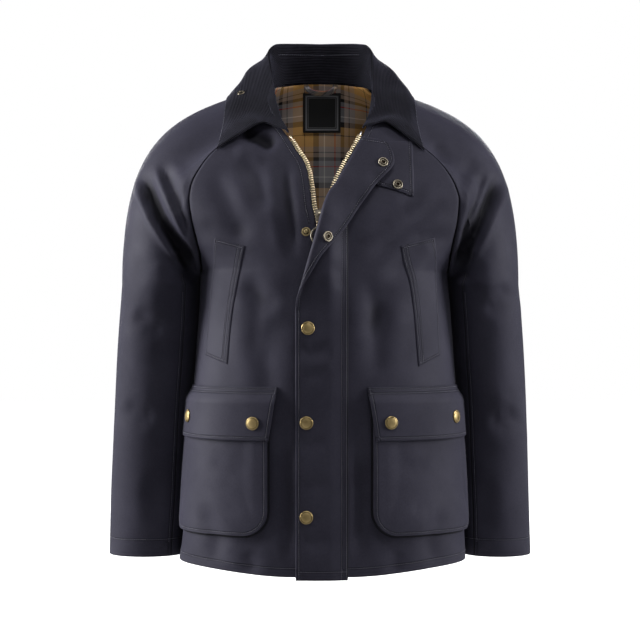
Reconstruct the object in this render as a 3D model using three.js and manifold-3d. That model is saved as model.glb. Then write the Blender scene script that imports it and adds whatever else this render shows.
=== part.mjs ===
// A hip-length waxed cotton jacket with raglan sleeves, in the shape it has when worn.
// Millimetres. +Z is up, the front faces -Y, and +X is the wearer's left.
// The origin is the middle of the neck, where the wearer carries the jacket.

import * as THREE from 'three';
import { mergeVertices } from 'three/addons/utils/BufferGeometryUtils.js';
import Module from 'manifold-3d';

const wasm = await Module();
wasm.setup();

// Driving dimensions of the cloth
const SHELL = 1.8;             // waxed cotton with its inner layer
const POCKET_CLOTH = 1.5;      // one layer of shell cloth, turned at its edges
const LINING = 1.0;
const COLLAR_CLOTH = 2.6;      // corduroy over an interlining
const SEAM = 0.95;             // half of the gap between two pieces at a seam
const LAY = 0.4;               // gap under a piece that lies on another
const ROUNDNESS = 2.3;         // exponent of the body's superellipse sections

// Heights of the garment
const HEM_Z = -657;
const ARMPIT_Z = -247;
const FRONT_TOP_Z = -18;
const BACK_TOP_Z = 36;
const BACK_SEAM_TOP_Z = 26;
const CUFF_Z = -647;

// Sizes of the metal trim
const CAP_RADIUS = 9;
const CAP_HEIGHT = 3.2;
const SOCKET_RADIUS = 7.2;
const SOCKET_HOLE = 3.0;
const SOCKET_HEIGHT = 1.6;
const STUD_RADIUS = 6.2;
const EYELET = { radius: 5.4, hole: 2.4, height: 1.4 };
const CHAIN_THICK = 3.6;
const PULL_RING_RADIUS = 11.8;
const PULL_WIRE = 1.15;

// Half widths of the body at its side seams, by height
const SIDE = {
  right: [[-660, 199.5], [-625, 194.5], [-520, 188], [-426, 180.5], [-340, 174], [-280, 170],
    [ARMPIT_Z, 169]],
  left: [[-660, 206], [-625, 204.5], [-520, 200], [-426, 193.5], [-340, 187.5], [-280, 183],
    [ARMPIT_Z, 180]],
};

// Raglan seams from the armpit up to the neckline: height, distance from the centre, depth
const FRONT_SEAM = {
  right: [[ARMPIT_Z, 169, 0], [-240, 166, -27], [-227, 166, -50], [-205, 170, -68], [-172, 177, -77],
    [-147, 180, -78], [-128, 178, -75], [-100, 165, -70], [-73, 143, -62], [-55, 119, -51], [-38, 96, -38],
    [-16, 72, -20]],
  left: [[ARMPIT_Z, 180, 0], [-240, 180, -27], [-227, 180.5, -50], [-205, 184, -68], [-172, 190, -77],
    [-147, 191.6, -78], [-128, 187, -75], [-100, 171, -70], [-73, 144, -62], [-55, 119, -51], [-38, 97, -38],
    [-16, 76, -20]],
};
const BACK_SEAM = {
  right: [[ARMPIT_Z, 169, 0], [-238, 168, 34], [-220, 168, 62], [-190, 170, 84], [-150, 166, 98],
    [-110, 155, 104], [-60, 134, 103], [-20, 112, 92], [5, 91, 72], [BACK_SEAM_TOP_Z, 70, 42]],
  left: [[ARMPIT_Z, 180, 0], [-238, 180, 34], [-220, 182, 62], [-190, 184, 84], [-150, 178, 98],
    [-110, 164, 104], [-60, 140, 103], [-20, 115, 92], [5, 92, 72], [BACK_SEAM_TOP_Z, 72, 42]],
};
const NECK_SIDE = { right: [79, 8, 8], left: [82, 8, 8] };

// Depth of the front and of the back at the centre, by height
const FRONT_DEPTH = [[-660, 131], [-560, 132], [-426, 133], [-320, 131], [ARMPIT_Z, 127], [-205, 122.5],
  [-172, 117.5], [-147, 110], [-127, 102], [-100, 88], [-73, 73], [-55, 61.5], [-40, 47], [-16, 21]];
const BACK_DEPTH = [[-660, 131], [-520, 126], [-426, 122], [-340, 123], [ARMPIT_Z, 128], [-190, 130],
  [-150, 129], [-110, 125], [-60, 117], [-20, 107], [5, 98], [24, 88], [BACK_TOP_Z, 80]];

// Front edges of the cloth: closed below the slider, open above it, then along the neckline
const FRONT_EDGE = {
  right: [[-660, 5.2], [-185, 5.2], [-169, 8], [-157, 10.7], [-137, 12.8], [-117, 15.5], [-97, 21],
    [-77, 33.5], [-55, 46.5], [-40, 59], [-16, 70]],
  left: [[-660, 5.2], [-185, 5.2], [-169, 11.5], [-151, 15.5], [-130, 21], [-108, 30.6], [-86, 42.5],
    [-65, 54], [-49, 62], [-35, 68.5], [-16, 74]],
};
const ZIP_TOP_Z = { right: -57, left: -51 };
const SLIDER_Z = -172;

// Sleeve tube below the armpit: height, inner edge, outer edge, middle depth, half depth
const SLEEVE_TUBE = {
  right: [[-262, 175, 281, 8, 75], [-320, 176.5, 286.5, 15, 70], [-369, 177, 290.5, 22, 65],
    [-426, 181.5, 294, 29, 60], [-500, 186, 298, 34, 54], [-560, 189.5, 301, 37, 50],
    [CUFF_Z, 195.5, 303.5, 40, 46.5]],
  left: [[-262, 187, 282, 8, 75], [-320, 189.5, 288, 15, 70], [-369, 192, 292, 22, 65],
    [-426, 195, 295.5, 29, 60], [-500, 198.5, 298.5, 34, 54], [-560, 201.5, 300.5, 37, 50],
    [CUFF_Z, 204.5, 303.5, 40, 46.5]],
};

// How each line of the sleeve cap leaves the seam: place round the seam, direction, reach at each end
const CAP_FLOW = [
  [0.00, -0.30, 0.00, -0.95, 0.33, 0.33],
  [0.10, -0.60, 0.12, -0.79, 0.33, 0.36],
  [0.25, -0.76, 0.16, -0.63, 0.36, 0.42],
  [0.36, -0.88, 0.10, -0.46, 0.40, 0.50],
  [0.45, -0.96, -0.06, -0.26, 0.44, 0.55],
  [0.50, -0.97, 0.00, -0.23, 0.46, 0.56],
  [0.55, -0.85, 0.00, -0.55, 0.44, 0.58],
  [0.64, -0.84, -0.08, -0.54, 0.40, 0.52],
  [0.75, -0.76, -0.16, -0.63, 0.36, 0.42],
  [0.90, -0.60, -0.12, -0.79, 0.33, 0.36],
  [1.00, -0.30, 0.00, -0.95, 0.33, 0.33],
];

// Largest folds of the sleeves, seen from the front and from the back:
// points (distance, height), depth, width
const SLEEVE_FOLDS = {
  front: [
    { line: [[246, -104], [224, -146], [203, -194], [186, -236]], depth: 8, width: 13 },
    { line: [[222, -108], [203, -146], [193, -186]], depth: 5, width: 10 },
    { line: [[262, -300], [236, -322], [212, -330]], depth: 5, width: 13 },
    { line: [[280, -430], [252, -452], [226, -448]], depth: 4, width: 13 },
  ],
  back: [
    { line: [[240, -120], [216, -170], [194, -226]], depth: 7, width: 14 },
    { line: [[270, -350], [240, -368], [214, -362]], depth: 5, width: 14 },
  ],
};

// Collar guides from the centre back to the front end: distance, depth, height
const COLLAR = {
  right: {
    base: [[0, 77, 40], [36, 71, 39], [57, 55, 34], [71, 30, 24], [75, 8, 13], [72, -17, -5],
      [64, -37, -26], [44, -63, -52.5]],
    roll: [[0, 76, 93], [36, 75, 93], [62, 65, 91], [71, 51, 76], [69, 34, 50], [64.5, 8, 20],
      [60, -20, -7], [53, -44, -32], [44.5, -67, -50]],
    mid: [[0, 95, 60], [44, 92, 60], [80, 77, 58], [104, 54, 46], [108, 28, 24], [106, 2, 5],
      [100, -24, -22], [89, -44, -33], [76, -51, -38]],
    edge: [[0, 105, 20], [44, 101, 19], [80, 86, 12], [110, 62, 3], [129, 33, 9.5], [134, 6, -2],
      [136, -24, -36], [139, -53, -60], [142, -67, -75]],
  },
  left: {
    base: [[0, 77, 40], [36, 71, 39], [58, 55, 34], [73, 30, 24], [78, 8, 13], [77, -17, -5],
      [70, -36, -24], [59.5, -58, -45.5]],
    roll: [[0, 76, 93], [36, 75, 93], [61, 65, 91], [71, 51, 76], [74, 34, 50], [73.5, 8, 20],
      [71, -20, -8], [67, -40, -30], [60.5, -61, -43.5]],
    mid: [[0, 95, 60], [44, 92, 60], [80, 77, 58], [104, 54, 46], [110, 28, 24], [109, 2, 5],
      [105, -24, -22], [97, -43, -32], [87, -48, -36]],
    edge: [[0, 105, 20], [44, 101, 19], [80, 86, 12], [110, 62, 3], [129, 33, 9.5], [135, 6, -2],
      [137, -24, -36], [140, -53, -60], [144, -68, -77]],
  },
};
const COLLAR_BULGE = 4;        // how far the fall curves out below its middle
const ROLL_RADIUS = 4.5;

// Storm flap: sewn edge by height, fold line by height, and its lift off the chest
const FLAP_WIDTH = 69;
const FLAP_SEAM = [[-660, 37], [-190, 37], [-169, 36], [-151, 38], [-130, 43], [-108, 52],
  [-86, 63], [-65, 73]];
const FLAP_FOLD = [[-300, -30], [-264, -19.5], [-213, -5.4], [-149, 13.6], [-128.5, 27.3],
  [-96, 45.5], [-64, 62.3]];
const FLAP_TOP_Z = -72;
const FLAP_HEM_Z = -661;
const FLAP_BEND = 4.2;         // radius of the fold
const FLAP_RISE = 26;          // distance over which the flap lifts off from its seam
const FLAP_REST = 5;           // how far the turned end comes down again past the bend
const FLAP_SETTLE = 45;
const FLAP_LIFT = [[-660, 3.4], [-330, 3.4], [-290, 6], [-250, 13], [-210, 14.5],
  [-172, 13], [-152, 9], [-128, 5], [-70, 3.4]];
const FLAP_CAPS = [[-16.1, -323], [-18.1, -450], [-18.3, -576.6]];
const FLAP_SOCKETS = [[9.6, -200.5], [86, -97]];
const CHEST_STUD = [-18.7, -193];
const COLLAR_STUD = [-112.5, 11.5];

// Throat tab under the turned flap: corners as distance from the centre and height
const TAB = { inner: [[-66, 80], [-128, 76]], outer: [[-66, 127], [-143, 127.5]], socket: [105.5, -128] };

// Chest welts: inner and outer edges as height, distance from the centre
const WELT = {
  right: { top: [-212, -200], inner: [[-212, 102], [-273, 114], [-318, 121], [-372, 126]],
    outer: [[-200, 143], [-286, 152], [-360, 158]],
    bottom: [-372, -360], lift: 1.35 },
  left: { top: [-212, -200], inner: [[-212, 110], [-287, 126], [-375, 134]],
    outer: [[-200, 158], [-263, 161], [-360, 165]],
    bottom: [-375, -360], lift: 0.7 },
};

// Patch pockets: how far round the body from the centre, by height
const POCKET = {
  right: { start: 70.5, flapStart: [59, 70], caps: [[87.5, -451], [174, -445]] },
  left: { start: 71.5, flapStart: [65.5, 76.5], caps: [[92.8, -450], [179, -445]] },
};
const POCKET_TOP_Z = -431;
const POCKET_BOTTOM_Z = -603;
const POCKET_CORNER = 34;
const POCKET_SIDE_MARGIN = 9;      // from the side seam
const POCKET_FLAP_TOP_Z = -403;
const POCKET_FLAP_BOTTOM_Z = -474;
const GUSSET_WIDTH = 7;
const GUSSET_THICK = 3.6;
const GUSSET_LIFT = 2 * LAY;
const POCKET_LIFT = GUSSET_THICK + 5.4 * LAY;
const POCKET_SINK = 2;             // how far the middle of the pocket drops towards the body
const FLAP_OVER_POCKET = GUSSET_THICK + POCKET_CLOTH + 8.2 * LAY;

const COLOURS = {
  shell: 0x2c2c3a, corduroy: 0x14161f, lining: 0x8a6a3c, label: 0x121214, tape: 0x1a1a22, brass: 0x9c8350,
};

const group = new THREE.Group();

function clothMaterial(colour) {
  return new THREE.MeshStandardMaterial({ color: colour, roughness: 0.8, metalness: 0 });
}

function brassMaterial() {
  return new THREE.MeshStandardMaterial({ color: COLOURS.brass, roughness: 0.35, metalness: 1 });
}

// Monotone cubic through rows of [place, value, ...]; column picks the value
function smooth(table, place, column = 1) {
  const rows = table[0][0] < table[table.length - 1][0] ? table : [...table].reverse();
  const last = rows.length - 1;
  if (place <= rows[0][0]) return rows[0][column];
  if (place >= rows[last][0]) return rows[last][column];
  const slope = (k) => (rows[k + 1][column] - rows[k][column]) / (rows[k + 1][0] - rows[k][0]);
  const tangent = (k) => {
    if (k === 0) return slope(0);
    if (k === last) return slope(last - 1);
    const before = slope(k - 1);
    const after = slope(k);
    return before * after <= 0 ? 0 : (2 * before * after) / (before + after);
  };
  let k = 0;
  while (place > rows[k + 1][0]) k += 1;
  const width = rows[k + 1][0] - rows[k][0];
  const t = (place - rows[k][0]) / width;
  const rise = t * t * (3 - 2 * t);
  return (1 - rise) * rows[k][column] + rise * rows[k + 1][column]
    + width * (t * (1 - t) * (1 - t) * tangent(k) - t * t * (1 - t) * tangent(k + 1));
}

function ramp(low, high, value) {
  const t = Math.min(1, Math.max(0, (value - low) / (high - low)));
  return t * t * (3 - 2 * t);
}

// Smooth path through points, read by the share of its length
function path(points) {
  const rows = [];
  let length = 0;
  points.forEach((point, index) => {
    if (index > 0) length += point.distanceTo(points[index - 1]);
    rows.push([length, point.x, point.y, point.z]);
  });
  return (share) => new THREE.Vector3(
    smooth(rows, share * length, 1),
    smooth(rows, share * length, 2),
    smooth(rows, share * length, 3),
  );
}

function addMesh(name, geometry, material) {
  const mesh = new THREE.Mesh(geometry, material);
  mesh.name = name;
  group.add(mesh);
  return mesh;
}

function signedVolume(positions, indices) {
  let volume = 0;
  const a = new THREE.Vector3();
  const b = new THREE.Vector3();
  const c = new THREE.Vector3();
  for (let i = 0; i < indices.length; i += 3) {
    a.fromArray(positions, 3 * indices[i]);
    b.fromArray(positions, 3 * indices[i + 1]);
    c.fromArray(positions, 3 * indices[i + 2]);
    volume += a.dot(b.cross(c)) / 6;
  }
  return volume;
}

// Unit normals of a grid of points from its neighbours along and across
function gridNormals(grid, wrap) {
  const rows = grid.length;
  const cols = grid[0].length;
  const at = (i, j) => grid[Math.min(rows - 1, Math.max(0, i))][
    wrap ? (j + cols) % cols : Math.min(cols - 1, Math.max(0, j))];
  return grid.map((row, i) => row.map((_, j) => {
    const along = at(i + 1, j).clone().sub(at(i - 1, j));
    const across = at(i, j + 1).clone().sub(at(i, j - 1));
    return along.cross(across).normalize();
  }));
}

function offsetGrid(grid, normals, distance) {
  return grid.map((row, i) => row.map((point, j) => {
    const far = typeof distance === 'function' ? distance(i, j) : distance;
    return point.clone().addScaledVector(normals[i][j], far);
  }));
}

// Closed wall between two grids of the same size; a wrapped grid is a tube with open ends
function wall(first, second, wrap = false) {
  const rows = first.length;
  const cols = first[0].length;
  const positions = [];
  [first, second].forEach((grid) => grid.forEach((row) => row.forEach((p) => positions.push(p.x, p.y, p.z))));
  const index = (layer, i, j) => layer * rows * cols + i * cols + (j % cols);
  const indices = [];
  const quad = (a, b, c, d) => indices.push(a, b, c, a, c, d);
  const spans = wrap ? cols : cols - 1;
  for (let i = 0; i < rows - 1; i += 1) {
    for (let j = 0; j < spans; j += 1) {
      quad(index(0, i, j), index(0, i + 1, j), index(0, i + 1, j + 1), index(0, i, j + 1));
      quad(index(1, i, j), index(1, i, j + 1), index(1, i + 1, j + 1), index(1, i + 1, j));
    }
  }
  for (let j = 0; j < spans; j += 1) {
    quad(index(0, 0, j), index(0, 0, j + 1), index(1, 0, j + 1), index(1, 0, j));
    quad(index(0, rows - 1, j), index(1, rows - 1, j), index(1, rows - 1, j + 1), index(0, rows - 1, j + 1));
  }
  if (!wrap) {
    for (let i = 0; i < rows - 1; i += 1) {
      quad(index(0, i, 0), index(1, i, 0), index(1, i + 1, 0), index(0, i + 1, 0));
      const end = cols - 1;
      quad(index(0, i, end), index(0, i + 1, end), index(1, i + 1, end), index(1, i, end));
    }
  }
  if (signedVolume(positions, indices) < 0) {
    for (let i = 0; i < indices.length; i += 3) {
      const swap = indices[i];
      indices[i] = indices[i + 1];
      indices[i + 1] = swap;
    }
  }
  const geometry = new THREE.BufferGeometry();
  geometry.setAttribute('position', new THREE.Float32BufferAttribute(positions, 3));
  geometry.setIndex(indices);
  return geometry;
}

const SIGN = { right: -1, left: 1 };

// Reach of the superellipse that passes a seam point at the given centre depth
function reach(x, y, depth) {
  const share = Math.min(0.97, Math.abs(y) / depth) ** ROUNDNESS;
  return x / (1 - share) ** (1 / ROUNDNESS);
}

function frontLimit(side, z) {
  if (z <= ARMPIT_Z) return [smooth(SIDE[side], z), 0];
  return [smooth(FRONT_SEAM[side], z, 1), smooth(FRONT_SEAM[side], z, 2)];
}

function backLimit(side, z) {
  if (z <= ARMPIT_Z) return [smooth(SIDE[side], z), 0];
  return [smooth(BACK_SEAM[side], z, 1), smooth(BACK_SEAM[side], z, 2)];
}

// Points of one section from the centre to its limit, evenly spaced between two lengths
function section(limit, depth, facing, side, z, from, to, count) {
  const wide = reach(limit[0], limit[1], depth);
  const end = Math.asin(Math.min(1, (limit[0] / wide) ** (ROUNDNESS / 2)));
  const dense = 90;
  const points = [];
  const lengths = [0];
  for (let k = 0; k <= dense; k += 1) {
    const angle = (end * k) / dense;
    const x = wide * Math.sin(angle) ** (2 / ROUNDNESS);
    const y = depth * Math.max(0, Math.cos(angle)) ** (2 / ROUNDNESS);
    points.push([x, y]);
    if (k > 0) lengths.push(lengths[k - 1] + Math.hypot(x - points[k - 1][0], y - points[k - 1][1]));
  }
  const total = lengths[dense];
  const first = typeof from === 'function' ? from(points, lengths) : from;
  const last = typeof to === 'function' ? to(points, lengths) : Math.min(to ?? Infinity, total - SEAM);
  const out = [];
  for (let k = 0; k < count; k += 1) {
    const wanted = first + ((last - first) * k) / (count - 1);
    let n = 1;
    while (n < dense && lengths[n] < wanted) n += 1;
    const t = (wanted - lengths[n - 1]) / (lengths[n] - lengths[n - 1]);
    const x = points[n - 1][0] + t * (points[n][0] - points[n - 1][0]);
    const y = points[n - 1][1] + t * (points[n][1] - points[n - 1][1]);
    out.push(new THREE.Vector3(SIGN[side] * x, facing * y, z));
  }
  return out;
}

// Length round a section at which it stands a given distance from the centre
function lengthAt(distance) {
  return (points, lengths) => {
    let n = 1;
    while (n < points.length - 1 && points[n][0] < distance) n += 1;
    const t = (distance - points[n - 1][0]) / (points[n][0] - points[n - 1][0]);
    return lengths[n - 1] + t * (lengths[n] - lengths[n - 1]);
  };
}

function frontSection(side, z, from, to, count) {
  return section(frontLimit(side, z), smooth(FRONT_DEPTH, z), -1, side, z, from, to, count);
}

// Depth of the chest's outer face at a distance from the centre
function chestY(x, z) {
  const side = x < 0 ? 'right' : 'left';
  const depth = smooth(FRONT_DEPTH, z);
  const limit = frontLimit(side, z);
  const share = Math.min(0.999, Math.abs(x) / reach(limit[0], limit[1], depth)) ** ROUNDNESS;
  return -depth * (1 - share) ** (1 / ROUNDNESS);
}

function chestNormal(x, z) {
  const step = 1;
  const slopeX = (chestY(x + step, z) - chestY(x - step, z)) / (2 * step);
  const slopeZ = (chestY(x, z + step) - chestY(x, z - step)) / (2 * step);
  return new THREE.Vector3(slopeX, -1, slopeZ).normalize();
}

function chestPoint(x, z, lift) {
  return new THREE.Vector3(x, chestY(x, z), z).addScaledVector(chestNormal(x, z), lift);
}

const heights = (stops) => {
  const list = [];
  stops.forEach(([low, high, steps]) => {
    for (let k = 0; k < steps; k += 1) list.push(low + ((high - low) * k) / steps);
  });
  list.push(stops[stops.length - 1][1]);
  return list;
};

// Normals are turned to face away from the body's axis, or up where the cloth lies flat
function outwardNormals(grid, wrap, centre) {
  const normals = gridNormals(grid, wrap);
  const mid = Math.floor(grid.length / 2);
  const probe = Math.floor(grid[0].length / 2);
  const away = grid[mid][probe].clone().sub(centre(grid[mid][probe]));
  if (normals[mid][probe].dot(away) < 0) normals.forEach((row) => row.forEach((n) => n.negate()));
  return normals;
}

// Faces of a cloth on both sides of its middle
function bothSides(grid, normals, thickness) {
  return {
    outer: offsetGrid(grid, normals, thickness / 2),
    inner: offsetGrid(grid, normals, -thickness / 2),
  };
}

const axisOf = (point) => new THREE.Vector3(0, 0, point.z);

function clothPanel(grid, thickness, centre = axisOf, wrap = false) {
  const normals = outwardNormals(grid, wrap, centre);
  return { outer: grid, normals, inner: offsetGrid(grid, normals, -thickness) };
}

// Front panels from the hem to the neckline
const FRONT_ROWS = heights([[HEM_Z, ARMPIT_Z, 10], [ARMPIT_Z, -100, 8], [-100, FRONT_TOP_Z, 5]]);
const FRONT_COLUMNS = 10;

function frontPanel(side) {
  const grid = FRONT_ROWS.map((z) => frontSection(
    side, z, lengthAt(smooth(FRONT_EDGE[side], z)), null, FRONT_COLUMNS,
  ));
  return clothPanel(grid, SHELL);
}

// Back panel in one piece, its upper rows bowed up to the neckline
const BACK_ROWS = heights([[HEM_Z, ARMPIT_Z, 9], [ARMPIT_Z, -60, 7], [-60, BACK_TOP_Z, 5]]);
const BACK_HALF_COLUMNS = 8;
const BOW_START_Z = -20;

function backRow(centreZ, margin) {
  const row = [];
  ['right', 'left'].forEach((side) => {
    const bow = Math.max(0, (centreZ - BOW_START_Z) / (BACK_TOP_Z - BOW_START_Z));
    const seamZ = centreZ - bow * (BACK_TOP_Z - BACK_SEAM_TOP_Z);
    const stop = (profile, lengths) => lengths[lengths.length - 1] - margin;
    const limit = backLimit(side, seamZ);
    const points = section(limit, smooth(BACK_DEPTH, centreZ), 1, side, centreZ, 0, stop, BACK_HALF_COLUMNS);
    points.forEach((point) => {
      point.z += (seamZ - centreZ) * (point.x / limit[0]) ** 2;
    });
    if (side === 'right') row.push(...points.reverse().slice(0, -1));
    else row.push(...points);
  });
  return row;
}

function backPanel() {
  return clothPanel(BACK_ROWS.map((z) => backRow(z, SEAM)), SHELL);
}

// Loop of the raglan seam: up the front, along the neck, down the back
function seamLoop(side) {
  const points = [];
  const push = (x, y, z) => points.push(new THREE.Vector3(SIGN[side] * x, y, z));
  const steps = 16;
  for (let k = 0; k <= steps; k += 1) {
    const z = ARMPIT_Z + ((-16 - ARMPIT_Z) * k) / steps;
    push(smooth(FRONT_SEAM[side], z, 1), smooth(FRONT_SEAM[side], z, 2), z);
  }
  push(...NECK_SIDE[side]);
  for (let k = steps; k >= 0; k -= 1) {
    const z = ARMPIT_Z + ((BACK_SEAM_TOP_Z - ARMPIT_Z) * k) / steps;
    push(smooth(BACK_SEAM[side], z, 1), smooth(BACK_SEAM[side], z, 2), z);
  }
  return path(points);
}

function sleeveRing(side, z, share) {
  const inner = smooth(SLEEVE_TUBE[side], z, 1);
  const outer = smooth(SLEEVE_TUBE[side], z, 2);
  const angle = 2 * Math.PI * share;
  return new THREE.Vector3(
    SIGN[side] * ((inner + outer) / 2 - ((outer - inner) / 2) * Math.cos(angle)),
    smooth(SLEEVE_TUBE[side], z, 3) - smooth(SLEEVE_TUBE[side], z, 4) * Math.sin(angle),
    z,
  );
}

function distanceToLine(x, z, line) {
  let best = Infinity;
  for (let k = 1; k < line.length; k += 1) {
    const [x0, z0] = line[k - 1];
    const dx = line[k][0] - x0;
    const dz = line[k][1] - z0;
    const t = Math.min(1, Math.max(0, ((x - x0) * dx + (z - z0) * dz) / (dx * dx + dz * dz)));
    best = Math.min(best, Math.hypot(x - x0 - t * dx, z - z0 - t * dz));
  }
  return best;
}

// How far the cloth sinks at a place, by the folds that pass near it
function foldDepth(point, normal) {
  const list = normal.y < 0 ? SLEEVE_FOLDS.front : SLEEVE_FOLDS.back;
  const facing = ramp(0.1, 0.6, Math.abs(normal.y));
  return facing * list.reduce((sum, fold) => {
    const away = distanceToLine(Math.abs(point.x), point.z, fold.line) / fold.width;
    return sum + fold.depth * Math.exp(-away * away);
  }, 0);
}

const SLEEVE_ROUND = 22;
const CAP_ROWS = 10;
const TUBE_ROWS = heights([[-262, CUFF_Z, 11]]).slice(1);

function sleeve(side) {
  const loop = seamLoop(side);
  const grid = [];
  for (let i = 0; i <= CAP_ROWS; i += 1) {
    const row = [];
    for (let j = 0; j < SLEEVE_ROUND; j += 1) {
      const share = j / SLEEVE_ROUND;
      const from = loop(share);
      const to = sleeveRing(side, SLEEVE_TUBE[side][0][0], share);
      const far = from.distanceTo(to);
      const leave = new THREE.Vector3(
        -SIGN[side] * smooth(CAP_FLOW, share, 1),
        smooth(CAP_FLOW, share, 2),
        smooth(CAP_FLOW, share, 3),
      ).normalize();
      const second = from.clone().addScaledVector(leave, far * smooth(CAP_FLOW, share, 4));
      const third = to.clone().add(new THREE.Vector3(0, 0, far * smooth(CAP_FLOW, share, 5)));
      const start = (3 * SEAM) / (3 * far * smooth(CAP_FLOW, share, 4));
      const t = start + ((1 - start) * i) / CAP_ROWS;
      row.push(new THREE.CubicBezierCurve3(from, second, third, to).getPoint(t));
    }
    grid.push(row);
  }
  TUBE_ROWS.forEach((z) => {
    const row = [];
    for (let j = 0; j < SLEEVE_ROUND; j += 1) row.push(sleeveRing(side, z, j / SLEEVE_ROUND));
    grid.push(row);
  });
  const centre = (point) => new THREE.Vector3(SIGN[side] * 235, 15, point.z);
  const normals = outwardNormals(grid, true, centre);
  const folded = grid.map((row, i) => row.map((point, j) => {
    const fade = Math.min(1, i / 3);
    return point.clone().addScaledVector(normals[i][j], -fade * foldDepth(point, normals[i][j]));
  }));
  return clothPanel(folded, SHELL, centre, true);
}

// Collar: rows round the neck, columns from the neckline over the roll to the outer edge
const COLLAR_HALF_ROWS = 13;

function collarRow(side, share) {
  const guide = (name) => path(COLLAR[side][name].map(([x, y, z]) => new THREE.Vector3(x, y, z)))(share);
  const base = guide('base');
  const roll = guide('roll');
  const mid = guide('mid');
  const edge = guide('edge');
  const stand = roll.distanceTo(base);
  const shrink = ramp(0, 30, stand);
  const up = roll.clone().sub(base).normalize();
  const out = mid.clone().sub(roll).normalize();
  const radius = Math.max(1.9, ROLL_RADIUS * shrink);
  const inside = roll.clone().addScaledVector(up, -radius);
  const outside = roll.clone().addScaledVector(out, radius);
  const crown = roll.clone().addScaledVector(out, radius * 0.3).addScaledVector(up, -radius * 0.1);
  const away = new THREE.Vector3(mid.x, mid.y - 10, 25).normalize();
  const lower = mid.clone().lerp(edge, 0.5).addScaledVector(away, COLLAR_BULGE);
  const points = [base, base.clone().lerp(inside, 0.5), inside, crown, outside,
    outside.clone().lerp(mid, 0.5), mid, lower, edge];
  points.forEach((point) => { point.x *= SIGN[side]; });
  return points;
}

function collar() {
  const grid = [];
  for (let k = COLLAR_HALF_ROWS; k >= 1; k -= 1) grid.push(collarRow('right', k / COLLAR_HALF_ROWS));
  for (let k = 0; k <= COLLAR_HALF_ROWS; k += 1) grid.push(collarRow('left', k / COLLAR_HALF_ROWS));
  const normals = gridNormals(grid, false);
  return bothSides(grid, normals, COLLAR_CLOTH);
}

// Storm flap: flat rows from the sewn edge to the free edge, mirrored over the fold line
// where it is turned back
const FLAP_COLUMNS = 16;
const FLAP_ROWS = heights([[FLAP_HEM_Z, -340, 5], [-340, -300, 2], [-300, FLAP_TOP_Z, 18]]);

function foldCrossing(sewn, across) {
  const step = 0.5;
  for (let far = step; far <= FLAP_WIDTH; far += step) {
    const x = sewn.x + far * across.x;
    const z = sewn.z + far * across.z;
    if (z > FLAP_FOLD[0][0] && smooth(FLAP_FOLD, z) > x) return far;
  }
  return FLAP_WIDTH + 1;
}

function flapRow(rowZ) {
  const sewn = new THREE.Vector3(smooth(FLAP_SEAM, rowZ), 0, rowZ);
  const step = 4;
  const slope = (line, z) => smooth(line, z + step) - smooth(line, z - step);
  const rise = new THREE.Vector3(slope(FLAP_SEAM, rowZ), 0, 2 * step).normalize();
  const across = new THREE.Vector3(-rise.z, 0, rise.x);
  const cross = foldCrossing(sewn, across);
  const crease = sewn.clone().addScaledVector(across, Math.min(cross, FLAP_WIDTH));
  const line = new THREE.Vector3(slope(FLAP_FOLD, crease.z), 0, 2 * step).normalize();
  const back = line.clone().multiplyScalar(2 * across.dot(line)).sub(across);
  const lift = smooth(FLAP_LIFT, crease.z);
  const row = [];
  for (let k = 0; k < FLAP_COLUMNS; k += 1) {
    const far = (FLAP_WIDTH * k) / (FLAP_COLUMNS - 1);
    const turn = Math.min(Math.PI, Math.max(0, (far - cross) / FLAP_BEND));
    const past = Math.max(0, far - cross - Math.PI * FLAP_BEND);
    const flat = sewn.clone().addScaledVector(across, Math.min(far, cross));
    flat.addScaledVector(across, FLAP_BEND * Math.sin(turn));
    flat.addScaledVector(back, past);
    const raised = LAY + (lift - LAY) * ramp(0, Math.min(cross, FLAP_RISE), Math.min(far, cross));
    const settle = (raised + FLAP_BEND - FLAP_REST) * ramp(0, FLAP_SETTLE, past);
    const height = raised + FLAP_BEND * (1 - Math.cos(turn)) - settle;
    row.push(chestPoint(flat.x, flat.z, height + POCKET_CLOTH / 2));
  }
  return row;
}

function stormFlap() {
  const grid = FLAP_ROWS.map(flapRow);
  return bothSides(grid, gridNormals(grid, false), POCKET_CLOTH);
}

// A skin on the front of the body between two edges, given by height
function patchOnFront(side, rows, from, to, columns, lift, thickness) {
  const grid = rows.map((z) => frontSection(side, z, from(z), to(z), columns));
  const normals = outwardNormals(grid, false, axisOf);
  return {
    outer: offsetGrid(grid, normals, (i, j) => lift(i, j) + thickness),
    inner: offsetGrid(grid, normals, lift),
  };
}

function sideLength(side, z) {
  const dense = frontSection(side, z, 0, null, 60);
  return dense.slice(1).reduce((sum, point, k) => sum + point.distanceTo(dense[k]), 0);
}

function pocketOuter(side, z) {
  return sideLength(side, z) - POCKET_SIDE_MARGIN;
}

// Rounded lower corners: how far the pocket's edge draws in at a height
function cornerInset(z) {
  const below = POCKET_BOTTOM_Z + POCKET_CORNER - z;
  if (below <= 0) return 0;
  return POCKET_CORNER - Math.sqrt(Math.max(0, POCKET_CORNER ** 2 - below ** 2));
}

const POCKET_ROWS = [...heights([[POCKET_BOTTOM_Z, POCKET_BOTTOM_Z + POCKET_CORNER, 5]]).slice(0, -1),
  ...heights([[POCKET_BOTTOM_Z + POCKET_CORNER, POCKET_TOP_Z, 5]])];
const POCKET_COLUMNS = 11;

function patchPocket(side) {
  const from = (z) => POCKET[side].start + cornerInset(z);
  const to = (z) => pocketOuter(side, z) - cornerInset(z);
  const lift = (i, j) => {
    const across = j / (POCKET_COLUMNS - 1);
    const rim = Math.max(ramp(0.6, 0.82, Math.abs(2 * across - 1)), ramp(6, 3, i));
    return POCKET_LIFT - POCKET_SINK * (1 - rim);
  };
  return patchOnFront(side, POCKET_ROWS, from, to, POCKET_COLUMNS, lift, POCKET_CLOTH);
}

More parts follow.
